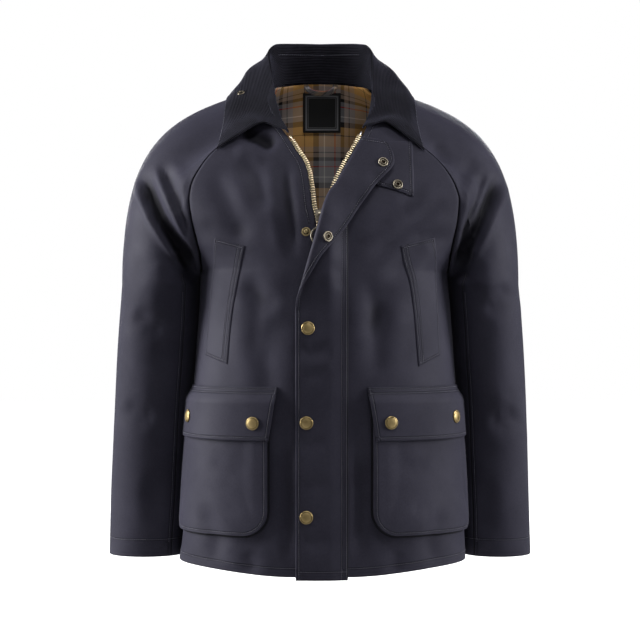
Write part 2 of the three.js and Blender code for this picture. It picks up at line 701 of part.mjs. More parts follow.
// Folded bellows strip down the inner edge, round the bottom and up the outer edge of a pocket
function pocketGusset(side) {
  const margin = 1.2;
  const stations = [];
  const innerAt = (z) => POCKET[side].start + cornerInset(z) + margin;
  const outerAt = (z) => pocketOuter(side, z) - cornerInset(z) - margin;
  const bottom = POCKET_BOTTOM_Z + margin;
  heights([[POCKET_TOP_Z, bottom + POCKET_CORNER, 4], [bottom + POCKET_CORNER, bottom, 5]])
    .forEach((z) => stations.push([innerAt(z), z]));
  const low = stations[stations.length - 1];
  const high = outerAt(bottom);
  for (let k = 1; k < 5; k += 1) stations.push([low[0] + ((high - low[0]) * k) / 5, bottom]);
  heights([[bottom, bottom + POCKET_CORNER, 5], [bottom + POCKET_CORNER, POCKET_TOP_Z, 4]])
    .forEach((z) => stations.push([outerAt(z), z]));
  const grid = stations.map(([length, z], k) => {
    const before = stations[Math.max(0, k - 1)];
    const after = stations[Math.min(stations.length - 1, k + 1)];
    const along = new THREE.Vector2(after[0] - before[0], after[1] - before[1]).normalize();
    return [0, 0.5, 1].map((share) => {
      const reachIn = share * GUSSET_WIDTH;
      const s = length - along.y * reachIn;
      const height = z + along.x * reachIn;
      return frontSection(side, height, s, null, 2)[0];
    });
  });
  const normals = outwardNormals(grid, false, axisOf);
  return {
    outer: offsetGrid(grid, normals, GUSSET_LIFT + GUSSET_THICK),
    inner: offsetGrid(grid, normals, GUSSET_LIFT),
  };
}

const POCKET_FLAP_ROWS = heights([[POCKET_FLAP_BOTTOM_Z, POCKET_FLAP_TOP_Z, 6]]);

function pocketFlap(side) {
  const share = (z) => (z - POCKET_FLAP_TOP_Z) / (POCKET_FLAP_BOTTOM_Z - POCKET_FLAP_TOP_Z);
  const [top, bottom] = POCKET[side].flapStart;
  const from = (z) => lengthAt(top + (bottom - top) * share(z) - 2);
  const to = (z) => pocketOuter(side, z) + 4;
  const rows = POCKET_FLAP_ROWS.length;
  const lift = (i) => LAY + (FLAP_OVER_POCKET - LAY) * ramp(1, 0.68, i / (rows - 1));
  return patchOnFront(side, POCKET_FLAP_ROWS, from, to, POCKET_COLUMNS, lift, POCKET_CLOTH);
}

const WELT_ROWS = 12;

function chestWelt(side) {
  const shape = WELT[side];
  const grid = [];
  for (let i = 0; i < WELT_ROWS; i += 1) {
    const row = [];
    for (let j = 0; j < 4; j += 1) {
      const t = j / 3;
      const low = shape.bottom[0] + (shape.bottom[1] - shape.bottom[0]) * t;
      const high = shape.top[0] + (shape.top[1] - shape.top[0]) * t;
      const z = low + ((high - low) * i) / (WELT_ROWS - 1);
      const x = SIGN[side] * (smooth(shape.inner, z) * (1 - t) + smooth(shape.outer, z) * t);
      row.push(new THREE.Vector3(x, chestY(x, z), z));
    }
    grid.push(row);
  }
  const normals = outwardNormals(grid, false, axisOf);
  return {
    outer: offsetGrid(grid, normals, shape.lift + POCKET_CLOTH),
    inner: offsetGrid(grid, normals, shape.lift),
  };
}

function throatTab() {
  const grid = [];
  const steps = 6;
  for (let i = 0; i <= steps; i += 1) {
    const row = [];
    for (let j = 0; j <= 4; j += 1) {
      const t = j / 4;
      const topZ = TAB.inner[0][0] + (TAB.outer[0][0] - TAB.inner[0][0]) * t;
      const lowZ = TAB.inner[1][0] + (TAB.outer[1][0] - TAB.inner[1][0]) * t;
      const z = topZ + ((lowZ - topZ) * i) / steps;
      const inner = TAB.inner[0][1] + ((TAB.inner[1][1] - TAB.inner[0][1]) * i) / steps;
      const outer = TAB.outer[0][1] + ((TAB.outer[1][1] - TAB.outer[0][1]) * i) / steps;
      const x = inner + (outer - inner) * t;
      row.push(chestPoint(x, z, LAY + POCKET_CLOTH / 2));
    }
    grid.push(row);
  }
  return bothSides(grid, outwardNormals(grid, false, axisOf), POCKET_CLOTH);
}

// Zip tapes behind the front edges, and a bar in the outline of each row of teeth
const ZIP_ROWS = { low: HEM_Z + 12, middle: -190, steps: 7, upper: 9 };
const TAPE_WIDTH = 15;
const TAPE_BEHIND = SHELL + 2 * LAY;
const CHAIN_GAP = 0.3;
const CHAIN_WIDE = 3.6;
const CHAIN_REACH = 4.9;       // from the cloth's edge to the free side of the teeth
const STOP_LENGTH = 8;

function zipHeights(side) {
  const top = ZIP_TOP_Z[side] - STOP_LENGTH;
  return heights([[ZIP_ROWS.low, ZIP_ROWS.middle, ZIP_ROWS.steps], [ZIP_ROWS.middle, top, ZIP_ROWS.upper]]);
}

function zipTape(side) {
  const grid = zipHeights(side).map((z) => {
    const inner = smooth(FRONT_EDGE[side], z) - CHAIN_REACH + 0.6;
    return [0, 0.5, 1].map((t) => chestPoint(SIGN[side] * (inner + TAPE_WIDTH * t), z, -TAPE_BEHIND));
  });
  return { outer: grid, inner: offsetGrid(grid, outwardNormals(grid, false, axisOf), -LINING) };
}

// Bar along the front edge: the outline of a row of teeth, or of the stop above it
function zipBar(side, rows) {
  const grid = rows.map((z) => {
    const inner = smooth(FRONT_EDGE[side], z) - CHAIN_REACH;
    return [0, 1].map((t) => chestPoint(SIGN[side] * (inner + CHAIN_WIDE * t), z, -SHELL));
  });
  return { inner: grid, outer: offsetGrid(grid, outwardNormals(grid, false, axisOf), CHAIN_THICK) };
}

function lathe(profile, segments) {
  return new THREE.LatheGeometry(profile.map(([r, z]) => new THREE.Vector2(r, z)), segments);
}

// Stand a turned piece, made along +Y, on a face
function place(geometry, point, normal, clearance) {
  const turn = new THREE.Quaternion().setFromUnitVectors(new THREE.Vector3(0, 1, 0), normal);
  const merged = geometry.clone();
  merged.applyQuaternion(turn);
  const seat = point.clone().addScaledVector(normal, clearance);
  merged.translate(seat.x, seat.y, seat.z);
  return merged;
}

function closed(geometry) {
  const bare = geometry.clone();
  bare.deleteAttribute('normal');
  bare.deleteAttribute('uv');
  return mergeVertices(bare, 1e-4);
}

// Domed snap cap with a rolled rim and a ring groove
function capGeometry(radius, height) {
  return closed(lathe([
    [0, 0], [radius, 0], [radius, height * 0.4], [radius * 0.8, height * 0.8], [0, height],
  ], 16));
}

// Open snap socket: a ring with a rolled rim
function socketGeometry(radius, hole, height) {
  return closed(lathe([
    [hole, 0], [radius, 0], [radius * 0.85, height], [hole, height * 0.8], [hole, 0],
  ], 14));
}

// Stud: a flange with a ball post
function studGeometry(radius) {
  return closed(lathe([
    [0, 0], [radius, 0], [radius, 0.9], [radius * 0.42, 1.5], [radius * 0.46, 3], [0, 3.7],
  ], 14));
}

function solid(geometry) {
  const bare = closed(geometry);
  return new wasm.Manifold(new wasm.Mesh({
    numProp: 3,
    vertProperties: new Float32Array(bare.attributes.position.array),
    triVerts: new Uint32Array(bare.index.array),
  }));
}

function fromSolid(shape) {
  const mesh = shape.getMesh();
  const geometry = new THREE.BufferGeometry();
  geometry.setAttribute('position', new THREE.Float32BufferAttribute(Array.from(mesh.vertProperties), 3));
  geometry.setIndex(Array.from(mesh.triVerts));
  return geometry;
}

function box(width, depth, height, x, y, z) {
  const geometry = new THREE.BoxGeometry(width, depth, height);
  geometry.translate(x, y, z);
  return solid(geometry);
}

// Zip slider: two plates with a wedge between them at the top, and two lugs with a pin for the pull
const PLATE = { width: 12.5, height: 15, thick: 1.5 };
const PIN = { radius: 1.0, out: 4.6 };
const LUG = { width: 1.6, height: 5, offset: 3.9 };
const PIVOT_DROP = 1.5;

function sliderGeometry() {
  const front = CHAIN_THICK - SHELL + CHAIN_GAP;
  const back = -SHELL - 2 * LAY - LINING - 4 * CHAIN_GAP;
  const middle = (front + back) / 2;
  const wedge = new THREE.CylinderGeometry(1.3, 1.3, front - back + 0.4, 12);
  wedge.translate(0, -middle, PLATE.height / 2 - 1.5);
  let shape = box(PLATE.width, PLATE.thick, PLATE.height, 0, -front - PLATE.thick / 2, 0)
    .add(box(PLATE.width, PLATE.thick, PLATE.height, 0, -back + PLATE.thick / 2, 0))
    .add(solid(wedge));
  const lugDepth = PIN.out + 1.6;
  [-1, 1].forEach((side) => {
    shape = shape.add(box(LUG.width, lugDepth, LUG.height, side * LUG.offset,
      -front - PLATE.thick - lugDepth / 2 + 0.2, PIVOT_DROP));
  });
  const pin = new THREE.CylinderGeometry(PIN.radius, PIN.radius, 2 * LUG.offset, 14);
  pin.rotateZ(Math.PI / 2);
  pin.translate(0, -front - PLATE.thick - PIN.out, PIVOT_DROP);
  return fromSolid(shape.add(solid(pin)));
}

// Pull: a strap from the pin to the ring, with a round eye at each end
const STRAP = { width: 4.2, length: 18, eye: 2.7, bore: 1.7, waist: 1.5 };
const PULL_TILT = 0.055;       // the pull hangs from its pin and lies on the teeth

function strapGeometry() {
  const outline = new THREE.Shape();
  const bend = Math.asin(STRAP.waist / STRAP.eye);
  outline.absarc(0, 0, STRAP.eye, bend, 2 * Math.PI - bend, false);
  outline.absarc(STRAP.length, 0, STRAP.eye, Math.PI + bend, 3 * Math.PI - bend, false);
  outline.closePath();
  [0, STRAP.length].forEach((centre) => {
    const bore = new THREE.Path();
    bore.absarc(centre, 0, STRAP.bore, 0, 2 * Math.PI, true);
    outline.holes.push(bore);
  });
  const sweep = { depth: STRAP.width, bevelEnabled: false, curveSegments: 6 };
  const geometry = new THREE.ExtrudeGeometry(outline, sweep);
  geometry.translate(0, 0, -STRAP.width / 2);
  geometry.rotateY(Math.PI / 2);
  return closed(geometry);
}

function ringGeometry() {
  return closed(new THREE.TorusGeometry(PULL_RING_RADIUS, PULL_WIRE, 6, 24));
}

// Seat of a round piece on a mesh: rays from the outside find the face under its middle and its rim
const ray = new THREE.Raycaster();

function seatOn(target, origin, direction, radius) {
  const across = new THREE.Vector3().crossVectors(direction, new THREE.Vector3(0, 0, 1)).normalize();
  const along = new THREE.Vector3().crossVectors(across, direction).normalize();
  const cast = (a, b) => {
    const start = origin.clone().addScaledVector(across, a * radius).addScaledVector(along, b * radius);
    ray.set(start, direction);
    return ray.intersectObject(target)[0].point;
  };
  const middle = cast(0, 0);
  const around = [];
  for (let k = 0; k < 8; k += 1) around.push(cast(Math.cos((k * Math.PI) / 4), Math.sin((k * Math.PI) / 4)));
  const normal = around[0].clone().sub(around[4]).cross(around[2].clone().sub(around[6])).normalize();
  if (normal.dot(direction) > 0) normal.negate();
  const high = Math.max(0, ...around.map((point) => point.clone().sub(middle).dot(normal)));
  return { point: middle.addScaledVector(normal, high), normal };
}

const FORWARD = new THREE.Vector3(0, 1, 0);

function seatSeenFromFront(target, x, z, radius) {
  return seatOn(target, new THREE.Vector3(x, -400, z), FORWARD, radius * 0.9);
}

function addTrim(name, geometry, seat, material) {
  return addMesh(name, place(geometry, seat.point, seat.normal, LAY), material);
}

// Lining over the inside of the back, as far as it shows through the open neck
const LINING_ROWS = [...BACK_ROWS.filter((z) => z > -230 && z < 20), 31];

function backLining() {
  const panel = clothPanel(LINING_ROWS.map((z) => backRow(z, 5)), SHELL);
  const behind = SHELL + 3 * LAY;
  return {
    outer: offsetGrid(panel.outer, panel.normals, -behind),
    inner: offsetGrid(panel.outer, panel.normals, -behind - LINING),
  };
}

// Depth of the lining's face at a place, seen from inside the neck
function liningY(target, x, z) {
  ray.set(new THREE.Vector3(x, -20, z), FORWARD);
  return ray.intersectObject(target)[0].point.y;
}

const LABEL = { left: -24.8, right: 30.2, low: -34.2, high: 20.8, thick: 0.8 };

function neckLabel(target) {
  const steps = 5;
  const grid = [];
  for (let i = 0; i <= steps; i += 1) {
    const row = [];
    for (let j = 0; j <= steps; j += 1) {
      const x = LABEL.left + ((LABEL.right - LABEL.left) * j) / steps;
      const z = LABEL.low + ((LABEL.high - LABEL.low) * i) / steps;
      row.push(new THREE.Vector3(x, liningY(target, x, z) - 2 * LAY, z));
    }
    grid.push(row);
  }
  const normals = outwardNormals(grid, false, axisOf);
  return { outer: grid, inner: offsetGrid(grid, normals, -LABEL.thick) };
}

// Hanger loop: a band from the neck seam down and up again, standing off the lining
const LOOP = { width: 6.5, thick: 1.2, off: 6, ends: 1.6, anchor: 27 };
const LOOP_LINE = [[-21.2, 34.5], [-18.5, 27], [-8, 21], [5, 19.8], [15, 21.8], [21, 27], [23, 34.5]];

function hangerLoop(target) {
  const line = path(LOOP_LINE.map(([x, z]) => new THREE.Vector3(x, 0, z)));
  const steps = 14;
  const grid = [];
  for (let k = 0; k <= steps; k += 1) {
    const share = k / steps;
    const middle = line(share);
    const along = line(Math.min(1, share + 0.02)).sub(line(Math.max(0, share - 0.02))).normalize();
    const stand = LOOP.ends + LOOP.off * Math.sin(Math.PI * share);
    grid.push([-0.5, 0.5].map((half) => {
      const x = middle.x - along.z * half * LOOP.width;
      const z = Math.min(35.5, middle.z + along.x * half * LOOP.width);
      const seamY = smooth(BACK_DEPTH, z) - SHELL - 5 * LAY - LINING;
      return new THREE.Vector3(x, Math.min(seamY, liningY(target, x, Math.min(z, LOOP.anchor))) - stand, z);
    }));
  }
  return bothSides(grid, gridNormals(grid, false), LOOP.thick);
}

const front = { right: frontPanel('right'), left: frontPanel('left') };
const back = backPanel();
const sleeves = { right: sleeve('right'), left: sleeve('left') };
const collarPiece = collar();
const flapPiece = stormFlap();
const tabPiece = throatTab();

const shellMaterial = clothMaterial(COLOURS.shell);
const tapeMaterial = clothMaterial(COLOURS.tape);
const brass = brassMaterial();

const frontMeshes = {};
['right', 'left'].forEach((side) => {
  frontMeshes[side] = addMesh(`front_${side}`, wall(front[side].outer, front[side].inner), shellMaterial);
  addMesh(`sleeve_${side}`, wall(sleeves[side].outer, sleeves[side].inner, true), shellMaterial);
  const patch = patchPocket(side);
  addMesh(`pocket_${side}`, wall(patch.outer, patch.inner), shellMaterial);
  const gusset = pocketGusset(side);
  addMesh(`pocket_gusset_${side}`, wall(gusset.outer, gusset.inner), shellMaterial);
  const cover = pocketFlap(side);
  const coverMesh = addMesh(`pocket_flap_${side}`, wall(cover.outer, cover.inner), shellMaterial);
  POCKET[side].caps.forEach(([x, z], k) => {
    const [first, second] = frontSection(side, z, lengthAt(x), null, 30);
    const away = second.clone().sub(first).cross(new THREE.Vector3(0, 0, SIGN[side])).normalize();
    const origin = first.clone().addScaledVector(away, 60);
    const seat = seatOn(coverMesh, origin, away.clone().negate(), CAP_RADIUS * 0.9);
    addTrim(`pocket_cap_${side}_${k + 1}`, capGeometry(CAP_RADIUS, CAP_HEIGHT), seat, brass);
  });
  const welt = chestWelt(side);
  addMesh(`chest_welt_${side}`, wall(welt.outer, welt.inner), shellMaterial);
  const tape = zipTape(side);
  addMesh(`zip_tape_${side}`, wall(tape.outer, tape.inner), tapeMaterial);
  const teeth = zipBar(side, zipHeights(side));
  addMesh(`zip_teeth_${side}`, wall(teeth.outer, teeth.inner), brass);
  const stopRows = heights([[ZIP_TOP_Z[side] - STOP_LENGTH + CHAIN_GAP, ZIP_TOP_Z[side], 2]]);
  const stop = zipBar(side, stopRows);
  addMesh(`zip_stop_${side}`, wall(stop.outer, stop.inner), brass);
});
addMesh('back', wall(back.outer, back.inner), shellMaterial);
const corduroy = clothMaterial(COLOURS.corduroy);
const collarMesh = addMesh('collar', wall(collarPiece.outer, collarPiece.inner), corduroy);
const flapMesh = addMesh('storm_flap', wall(flapPiece.outer, flapPiece.inner), shellMaterial);
const tabMesh = addMesh('throat_tab', wall(tabPiece.outer, tabPiece.inner), shellMaterial);
const lining = backLining();
const liningMesh = addMesh('lining_back', wall(lining.outer, lining.inner), clothMaterial(COLOURS.lining));
const label = neckLabel(liningMesh);
addMesh('neck_label', wall(label.outer, label.inner), clothMaterial(COLOURS.label));
const loopPiece = hangerLoop(liningMesh);
addMesh('hanger_loop', wall(loopPiece.outer, loopPiece.inner), clothMaterial(COLOURS.lining));

FLAP_CAPS.forEach(([x, z], k) => {
  const seat = seatSeenFromFront(flapMesh, x, z, CAP_RADIUS);
  addTrim(`flap_cap_${k + 1}`, capGeometry(CAP_RADIUS, CAP_HEIGHT), seat, brass);
});
FLAP_SOCKETS.forEach(([x, z], k) => {
  const seat = seatSeenFromFront(flapMesh, x, z, SOCKET_RADIUS);
  addTrim(`flap_socket_${k + 1}`, socketGeometry(SOCKET_RADIUS, SOCKET_HOLE, SOCKET_HEIGHT), seat, brass);
});
const tabSeat = seatSeenFromFront(tabMesh, TAB.socket[0], TAB.socket[1], SOCKET_RADIUS);
addTrim('tab_socket', socketGeometry(SOCKET_RADIUS, SOCKET_HOLE, SOCKET_HEIGHT), tabSeat, brass);
const studSeat = seatSeenFromFront(frontMeshes.right, CHEST_STUD[0], CHEST_STUD[1], STUD_RADIUS);
addTrim('chest_stud', studGeometry(STUD_RADIUS), studSeat, brass);
const collarSeat = seatSeenFromFront(collarMesh, COLLAR_STUD[0], COLLAR_STUD[1], EYELET.radius);
const eyelet = socketGeometry(EYELET.radius, EYELET.hole, EYELET.height);
addTrim('collar_eyelet', eyelet, collarSeat, brass);

// The slider stands on the closed end of the teeth, and its pull hangs from the pin
const chestTilt = Math.atan2(chestNormal(0.01, SLIDER_Z).z, -chestNormal(0.01, SLIDER_Z).y);
const slider = addMesh('zip_slider', sliderGeometry(), brass);
slider.rotation.x = -chestTilt;
slider.position.set(0, chestY(0, SLIDER_Z), SLIDER_Z);
const pinHeight = CHAIN_THICK - SHELL + CHAIN_GAP + PLATE.thick + PIN.out;
const pivot = new THREE.Vector3(0, -pinHeight, PIVOT_DROP).applyEuler(slider.rotation).add(slider.position);
const pull = new THREE.Group();
pull.position.copy(pivot);
pull.rotation.x = -PULL_TILT;
const strap = new THREE.Mesh(strapGeometry(), brass);
strap.name = 'pull_strap';
const ring = new THREE.Mesh(ringGeometry(), brass);
ring.name = 'pull_ring';
ring.rotation.x = Math.PI / 2;
ring.position.set(0, 0, -STRAP.length - PULL_RING_RADIUS);
pull.add(strap, ring);
group.add(pull);

export default group;
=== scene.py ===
# %% [markdown]
# # A waxed cotton jacket
# The real jacket is cut from stiff waxed cotton and sewn into a hollow body with two raglan sleeves.
# Such a garment could be sculpted, or draped from flat panels by a simulation. Here each panel is worked
# out from its sizes as a grid of points, because waxed cloth holds its own shape and its seams have to
# meet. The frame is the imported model, and every piece below is laid over it.

# %% The frame
import math

import bmesh
import bpy
import numpy as np
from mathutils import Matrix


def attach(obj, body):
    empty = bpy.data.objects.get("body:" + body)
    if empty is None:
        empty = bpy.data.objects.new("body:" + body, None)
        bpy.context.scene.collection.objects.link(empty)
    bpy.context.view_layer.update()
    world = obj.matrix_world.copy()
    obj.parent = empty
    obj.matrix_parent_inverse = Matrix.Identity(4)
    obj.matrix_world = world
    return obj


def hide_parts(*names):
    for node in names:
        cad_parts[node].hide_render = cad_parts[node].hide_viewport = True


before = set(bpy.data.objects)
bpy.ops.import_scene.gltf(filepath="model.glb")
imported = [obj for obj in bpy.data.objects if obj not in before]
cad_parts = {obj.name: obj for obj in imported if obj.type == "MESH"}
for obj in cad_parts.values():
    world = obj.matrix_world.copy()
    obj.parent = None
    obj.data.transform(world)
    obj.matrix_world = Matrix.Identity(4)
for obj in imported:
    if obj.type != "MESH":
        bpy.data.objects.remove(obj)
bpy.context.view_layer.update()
MM = 0.001
print("packed nodes:", len(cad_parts))

# %% [markdown]
# The camera stands level in front of the chest, 2.4 m away, as for a plain product picture. A lens of
# 95 mm sees 909 mm of height at the jacket's middle. The camera comes first, so that all that follows
# can be judged from it.

# %% Camera
CAMERA_DISTANCE = 2.4
CAMERA_HEIGHT = -0.312
camera_data = bpy.data.cameras.new("camera")
camera_data.sensor_width = 36
camera_data.lens = 95.07
camera = bpy.data.objects.new("camera", camera_data)
camera.location = (0, -CAMERA_DISTANCE, CAMERA_HEIGHT)
camera.rotation_euler = (math.radians(90), 0, 0)
bpy.context.scene.collection.objects.link(camera)
bpy.context.scene.camera = camera

# %% [markdown]
# Curves through short tables give every outline. A table's rows start with a place, and the other
# columns hold values. The curve between two rows is a cubic whose slopes never overshoot, so a hem
# stays level where the table is level.

# %% Curves through tables
def smooth(table, place, column=1):
    """Cubic through the rows (place, value, ...): at each row its slope is the harmonic mean of the two
    neighbouring slopes, or zero at a peak."""
    rows = np.array(sorted(table), float)
    x, y = rows[:, 0], rows[:, column]
    slope = np.diff(y) / np.diff(x)
    before, after = slope[:-1], slope[1:]
    rising = before * after > 0
    mean = 2 * before * after / np.where(rising, before + after, 1)
    tangent = np.concatenate([slope[:1], np.where(rising, mean, 0), slope[-1:]])
    place = np.clip(np.asarray(place, float), x[0], x[-1])
    k = np.clip(np.searchsorted(x, place) - 1, 0, len(x) - 2)
    width = x[k + 1] - x[k]
    t = (place - x[k]) / width
    rise = t * t * (3 - 2 * t)
    bend = t * (1 - t) ** 2 * tangent[k] - t * t * (1 - t) * tangent[k + 1]
    return (1 - rise) * y[k] + rise * y[k + 1] + width * bend


def ramp(low, high, value):
    """0 below low, 1 above high, and 3t^2 - 2t^3 between them."""
    t = np.clip((np.asarray(value, float) - low) / (high - low), 0, 1)
    return t * t * (3 - 2 * t)


def run_length(points):
    """Length along a line of points, from its first one."""
    return np.concatenate([[0], np.cumsum(np.linalg.norm(np.diff(points, axis=0), axis=1))])


def at_lengths(wanted, length, values):
    """Values with three columns, read between the points of a line at wanted lengths."""
    return np.stack([np.interp(wanted, length, values[:, c]) for c in range(3)], -1)


def path(points, share):
    """Points of a smooth line through the given ones, at shares of its length."""
    points = np.asarray(points, float)
    length = run_length(points)
    table = np.column_stack([length, points]).tolist()
    return np.stack([smooth(table, np.asarray(share) * length[-1], c) for c in (1, 2, 3)], -1)


def heights(*stops):
    """Heights from stretches of (low, high, steps)."""
    parts = [np.linspace(low, high, steps, endpoint=False) for low, high, steps in stops]
    return np.concatenate(parts + [[stops[-1][1]]])


def unit(vectors):
    """Vectors of length one."""
    return vectors / np.maximum(np.linalg.norm(vectors, axis=-1, keepdims=True), 1e-9)


def dot(a, b):
    """Dot product along the last axis, kept as a column."""
    return np.sum(a * b, axis=-1, keepdims=True)


def between(first, last, share):
    """first + (last - first) * share."""
    return first + (last - first) * share


print("halfway up an eased ramp:", ramp(0, 1, 0.5))

# %% [markdown]
# These are the garment's sizes in millimetres, the same as in the construction: half widths, seams and
# depths by height. +X is the wearer's left and -Y the front. The two sides differ a little, as on any
# worn jacket.

# %% Sizes of the body
SHELL, POCKET_CLOTH, LINING, COLLAR_CLOTH = 1.8, 1.5, 1.0, 2.6
LAY = 0.4
ROUNDNESS = 2.3
HEM_Z, ARMPIT_Z, FRONT_TOP_Z, BACK_TOP_Z, BACK_SEAM_TOP_Z = -657, -247, -18, 36, 26
CUFF_Z = -647
SIGN = {"right": -1, "left": 1}
SIDES = ("right", "left")

SIDE = {
    "right": [[-660, 199.5], [-625, 194.5], [-520, 188], [-426, 180.5], [-340, 174], [-280, 170],
              [ARMPIT_Z, 169]],
    "left": [[-660, 206], [-625, 204.5], [-520, 200], [-426, 193.5], [-340, 187.5], [-280, 183],
             [ARMPIT_Z, 180]],
}
FRONT_SEAM = {
    "right": [[ARMPIT_Z, 169, 0], [-240, 166, -27], [-227, 166, -50], [-205, 170, -68],
              [-172, 177, -77], [-147, 180, -78], [-128, 178, -75], [-100, 165, -70], [-73, 143, -62],
              [-55, 119, -51], [-38, 96, -38], [-16, 72, -20]],
    "left": [[ARMPIT_Z, 180, 0], [-240, 180, -27], [-227, 180.5, -50], [-205, 184, -68],
             [-172, 190, -77], [-147, 191.6, -78], [-128, 187, -75], [-100, 171, -70], [-73, 144, -62],
             [-55, 119, -51], [-38, 97, -38], [-16, 76, -20]],
}
BACK_SEAM = {
    "right": [[ARMPIT_Z, 169, 0], [-238, 168, 34], [-220, 168, 62], [-190, 170, 84], [-150, 166, 98],
              [-110, 155, 104], [-60, 134, 103], [-20, 112, 92], [5, 91, 72], [BACK_SEAM_TOP_Z, 70, 42]],
    "left": [[ARMPIT_Z, 180, 0], [-238, 180, 34], [-220, 182, 62], [-190, 184, 84], [-150, 178, 98],
             [-110, 164, 104], [-60, 140, 103], [-20, 115, 92], [5, 92, 72], [BACK_SEAM_TOP_Z, 72, 42]],
}
NECK_SIDE = {"right": [79, 8, 8], "left": [82, 8, 8]}
FRONT_DEPTH = [[-660, 131], [-560, 132], [-426, 133], [-320, 131], [ARMPIT_Z, 127], [-205, 122.5],
               [-172, 117.5], [-147, 110], [-127, 102], [-100, 88], [-73, 73], [-55, 61.5], [-40, 47],
               [-16, 21]]
BACK_DEPTH = [[-660, 131], [-520, 126], [-426, 122], [-340, 123], [ARMPIT_Z, 128], [-190, 130],
              [-150, 129], [-110, 125], [-60, 117], [-20, 107], [5, 98], [24, 88], [BACK_TOP_Z, 80]]
FRONT_EDGE = {
    "right": [[-660, 5.2], [-185, 5.2], [-169, 8], [-157, 10.7], [-137, 12.8], [-117, 15.5], [-97, 21],
              [-77, 33.5], [-55, 46.5], [-40, 59], [-16, 70]],
    "left": [[-660, 5.2], [-185, 5.2], [-169, 11.5], [-151, 15.5], [-130, 21], [-108, 30.6],
             [-86, 42.5], [-65, 54], [-49, 62], [-35, 68.5], [-16, 74]],
}
print("across the body at the armpits, mm:", SIDE["right"][-1][1] + SIDE["left"][-1][1])

# %% [markdown]
# A section of the body is half a superellipse on each side: wide, and a little flat in front, as a
# ribcage under stiff cloth is. Each one is made wide enough to pass the seam point at its height. A
# plain ellipse would be quicker, but it makes the chest look like a barrel.

# %% Sections of the body
DENSE = 241


def full_width(limit_x, limit_y, depth):
    """The w for which (x/w)^n + (y/d)^n = 1 passes the limit: x / (1 - (y/d)^n)^(1/n)."""
    share = np.minimum(0.97, np.abs(limit_y) / depth) ** ROUNDNESS
    return limit_x / (1 - share) ** (1 / ROUNDNESS)


def depth_at(x, wide, depth, most):
    """y = d (1 - (x/w)^n)^(1/n), with x/w held under a share, because the curve is steep at its end."""
    return depth * (1 - np.minimum(most, np.abs(x) / wide) ** ROUNDNESS) ** (1 / ROUNDNESS)


def half_section(limit_x, limit_y, depth):
    """x = w sin(a)^(2/n), y = d cos(a)^(2/n) for each height, with w such that the curve passes the
    limit. Returns x, y and the length from the centre, one row for each height."""
    wide = full_width(limit_x, limit_y, depth)
    end = np.arcsin(np.minimum(1, (limit_x / wide) ** (ROUNDNESS / 2)))
    angle = end[:, None] * np.linspace(0, 1, DENSE)
    x = wide[:, None] * np.sin(angle) ** (2 / ROUNDNESS)
    y = depth[:, None] * np.maximum(0, np.cos(angle)) ** (2 / ROUNDNESS)
    step = np.hypot(np.diff(x, axis=1), np.diff(y, axis=1))
    length = np.concatenate([np.zeros((len(x), 1)), np.cumsum(step, axis=1)], axis=1)
    return x, y, length


def read_rows(places, values, wanted):
    """Row by row interpolation in one call: each row is shifted past the end of the one before."""
    shift = np.arange(len(places))[:, None] * (max(places.max(), wanted.max()) * 1.01 + 1)
    flat = np.interp((np.clip(wanted, 0, None) + shift).ravel(), (places + shift).ravel(), values.ravel())
    return flat.reshape(wanted.shape)


def limit(seam, side, z):
    """Where a panel ends: at the side seam, or above the armpit at its own raglan seam."""
    low = z <= ARMPIT_Z
    x = np.where(low, smooth(SIDE[side], z), smooth(seam[side], z, 1))
    return x, np.where(low, 0, smooth(seam[side], z, 2))


def front_curve(side, z):
    """x, y and length of the front's section at each height."""
    return half_section(*limit(FRONT_SEAM, side, z), smooth(FRONT_DEPTH, z))


def on_front(side, z, length):
    """Points of the front at heights z (rows) and lengths round the body from its centre (columns)."""
    x, y, s = front_curve(side, z)
    length = np.minimum(length, s[:, -1:])
    tall = np.broadcast_to(z[:, None], length.shape)
    return np.stack([SIGN[side] * read_rows(s, x, length), -read_rows(s, y, length), tall], -1)


def length_at(side, z, distance):
    """Length round the front at which it stands a given distance from the centre."""
    x, _, s = front_curve(side, z)
    return read_rows(x, s, distance[:, None])[:, 0]


print("front sections: points across", DENSE)

# %% The chest's face
def chest_y(x, z):
    """Depth of the front's face at a distance from the centre: -d (1 - (x/w)^n)^(1/n)."""
    depth = smooth(FRONT_DEPTH, z)
    right, left = (full_width(*limit(FRONT_SEAM, side, z), depth) for side in SIDES)
    return -depth_at(x, np.where(x < 0, right, left), depth, 0.999)


def chest_normal(x, z):
    """Outward direction of the front's face, from its slopes."""
    slope_x = (chest_y(x + 1, z) - chest_y(x - 1, z)) / 2
    slope_z = (chest_y(x, z + 1) - chest_y(x, z - 1)) / 2
    return unit(np.stack([slope_x, -np.ones_like(slope_x), slope_z], -1))


def chest_point(x, z, lift):
    """A point on the front's face, lifted along its normal."""
    lift = np.broadcast_to(lift, np.shape(x))[..., None]
    return np.stack([x, chest_y(x, z), z], -1) + chest_normal(x, z) * lift


left_half = front_curve("left", np.array([ARMPIT_Z]))[2][0, -1]
print("from the zip round to the left armpit, mm:", left_half.round(1))

# %% [markdown]
# A crease is a soft valley or ridge along a line. Waxed cotton makes few of them, long and rounded, most
# of them pulled between the shoulder and the armpit. They are placed one by one, uneven in length and depth,
# because noise would make them look like wrinkled paper.

# %% Creases
RIDGE_AWAY, RIDGE_SHARE = 2.1, 0.28


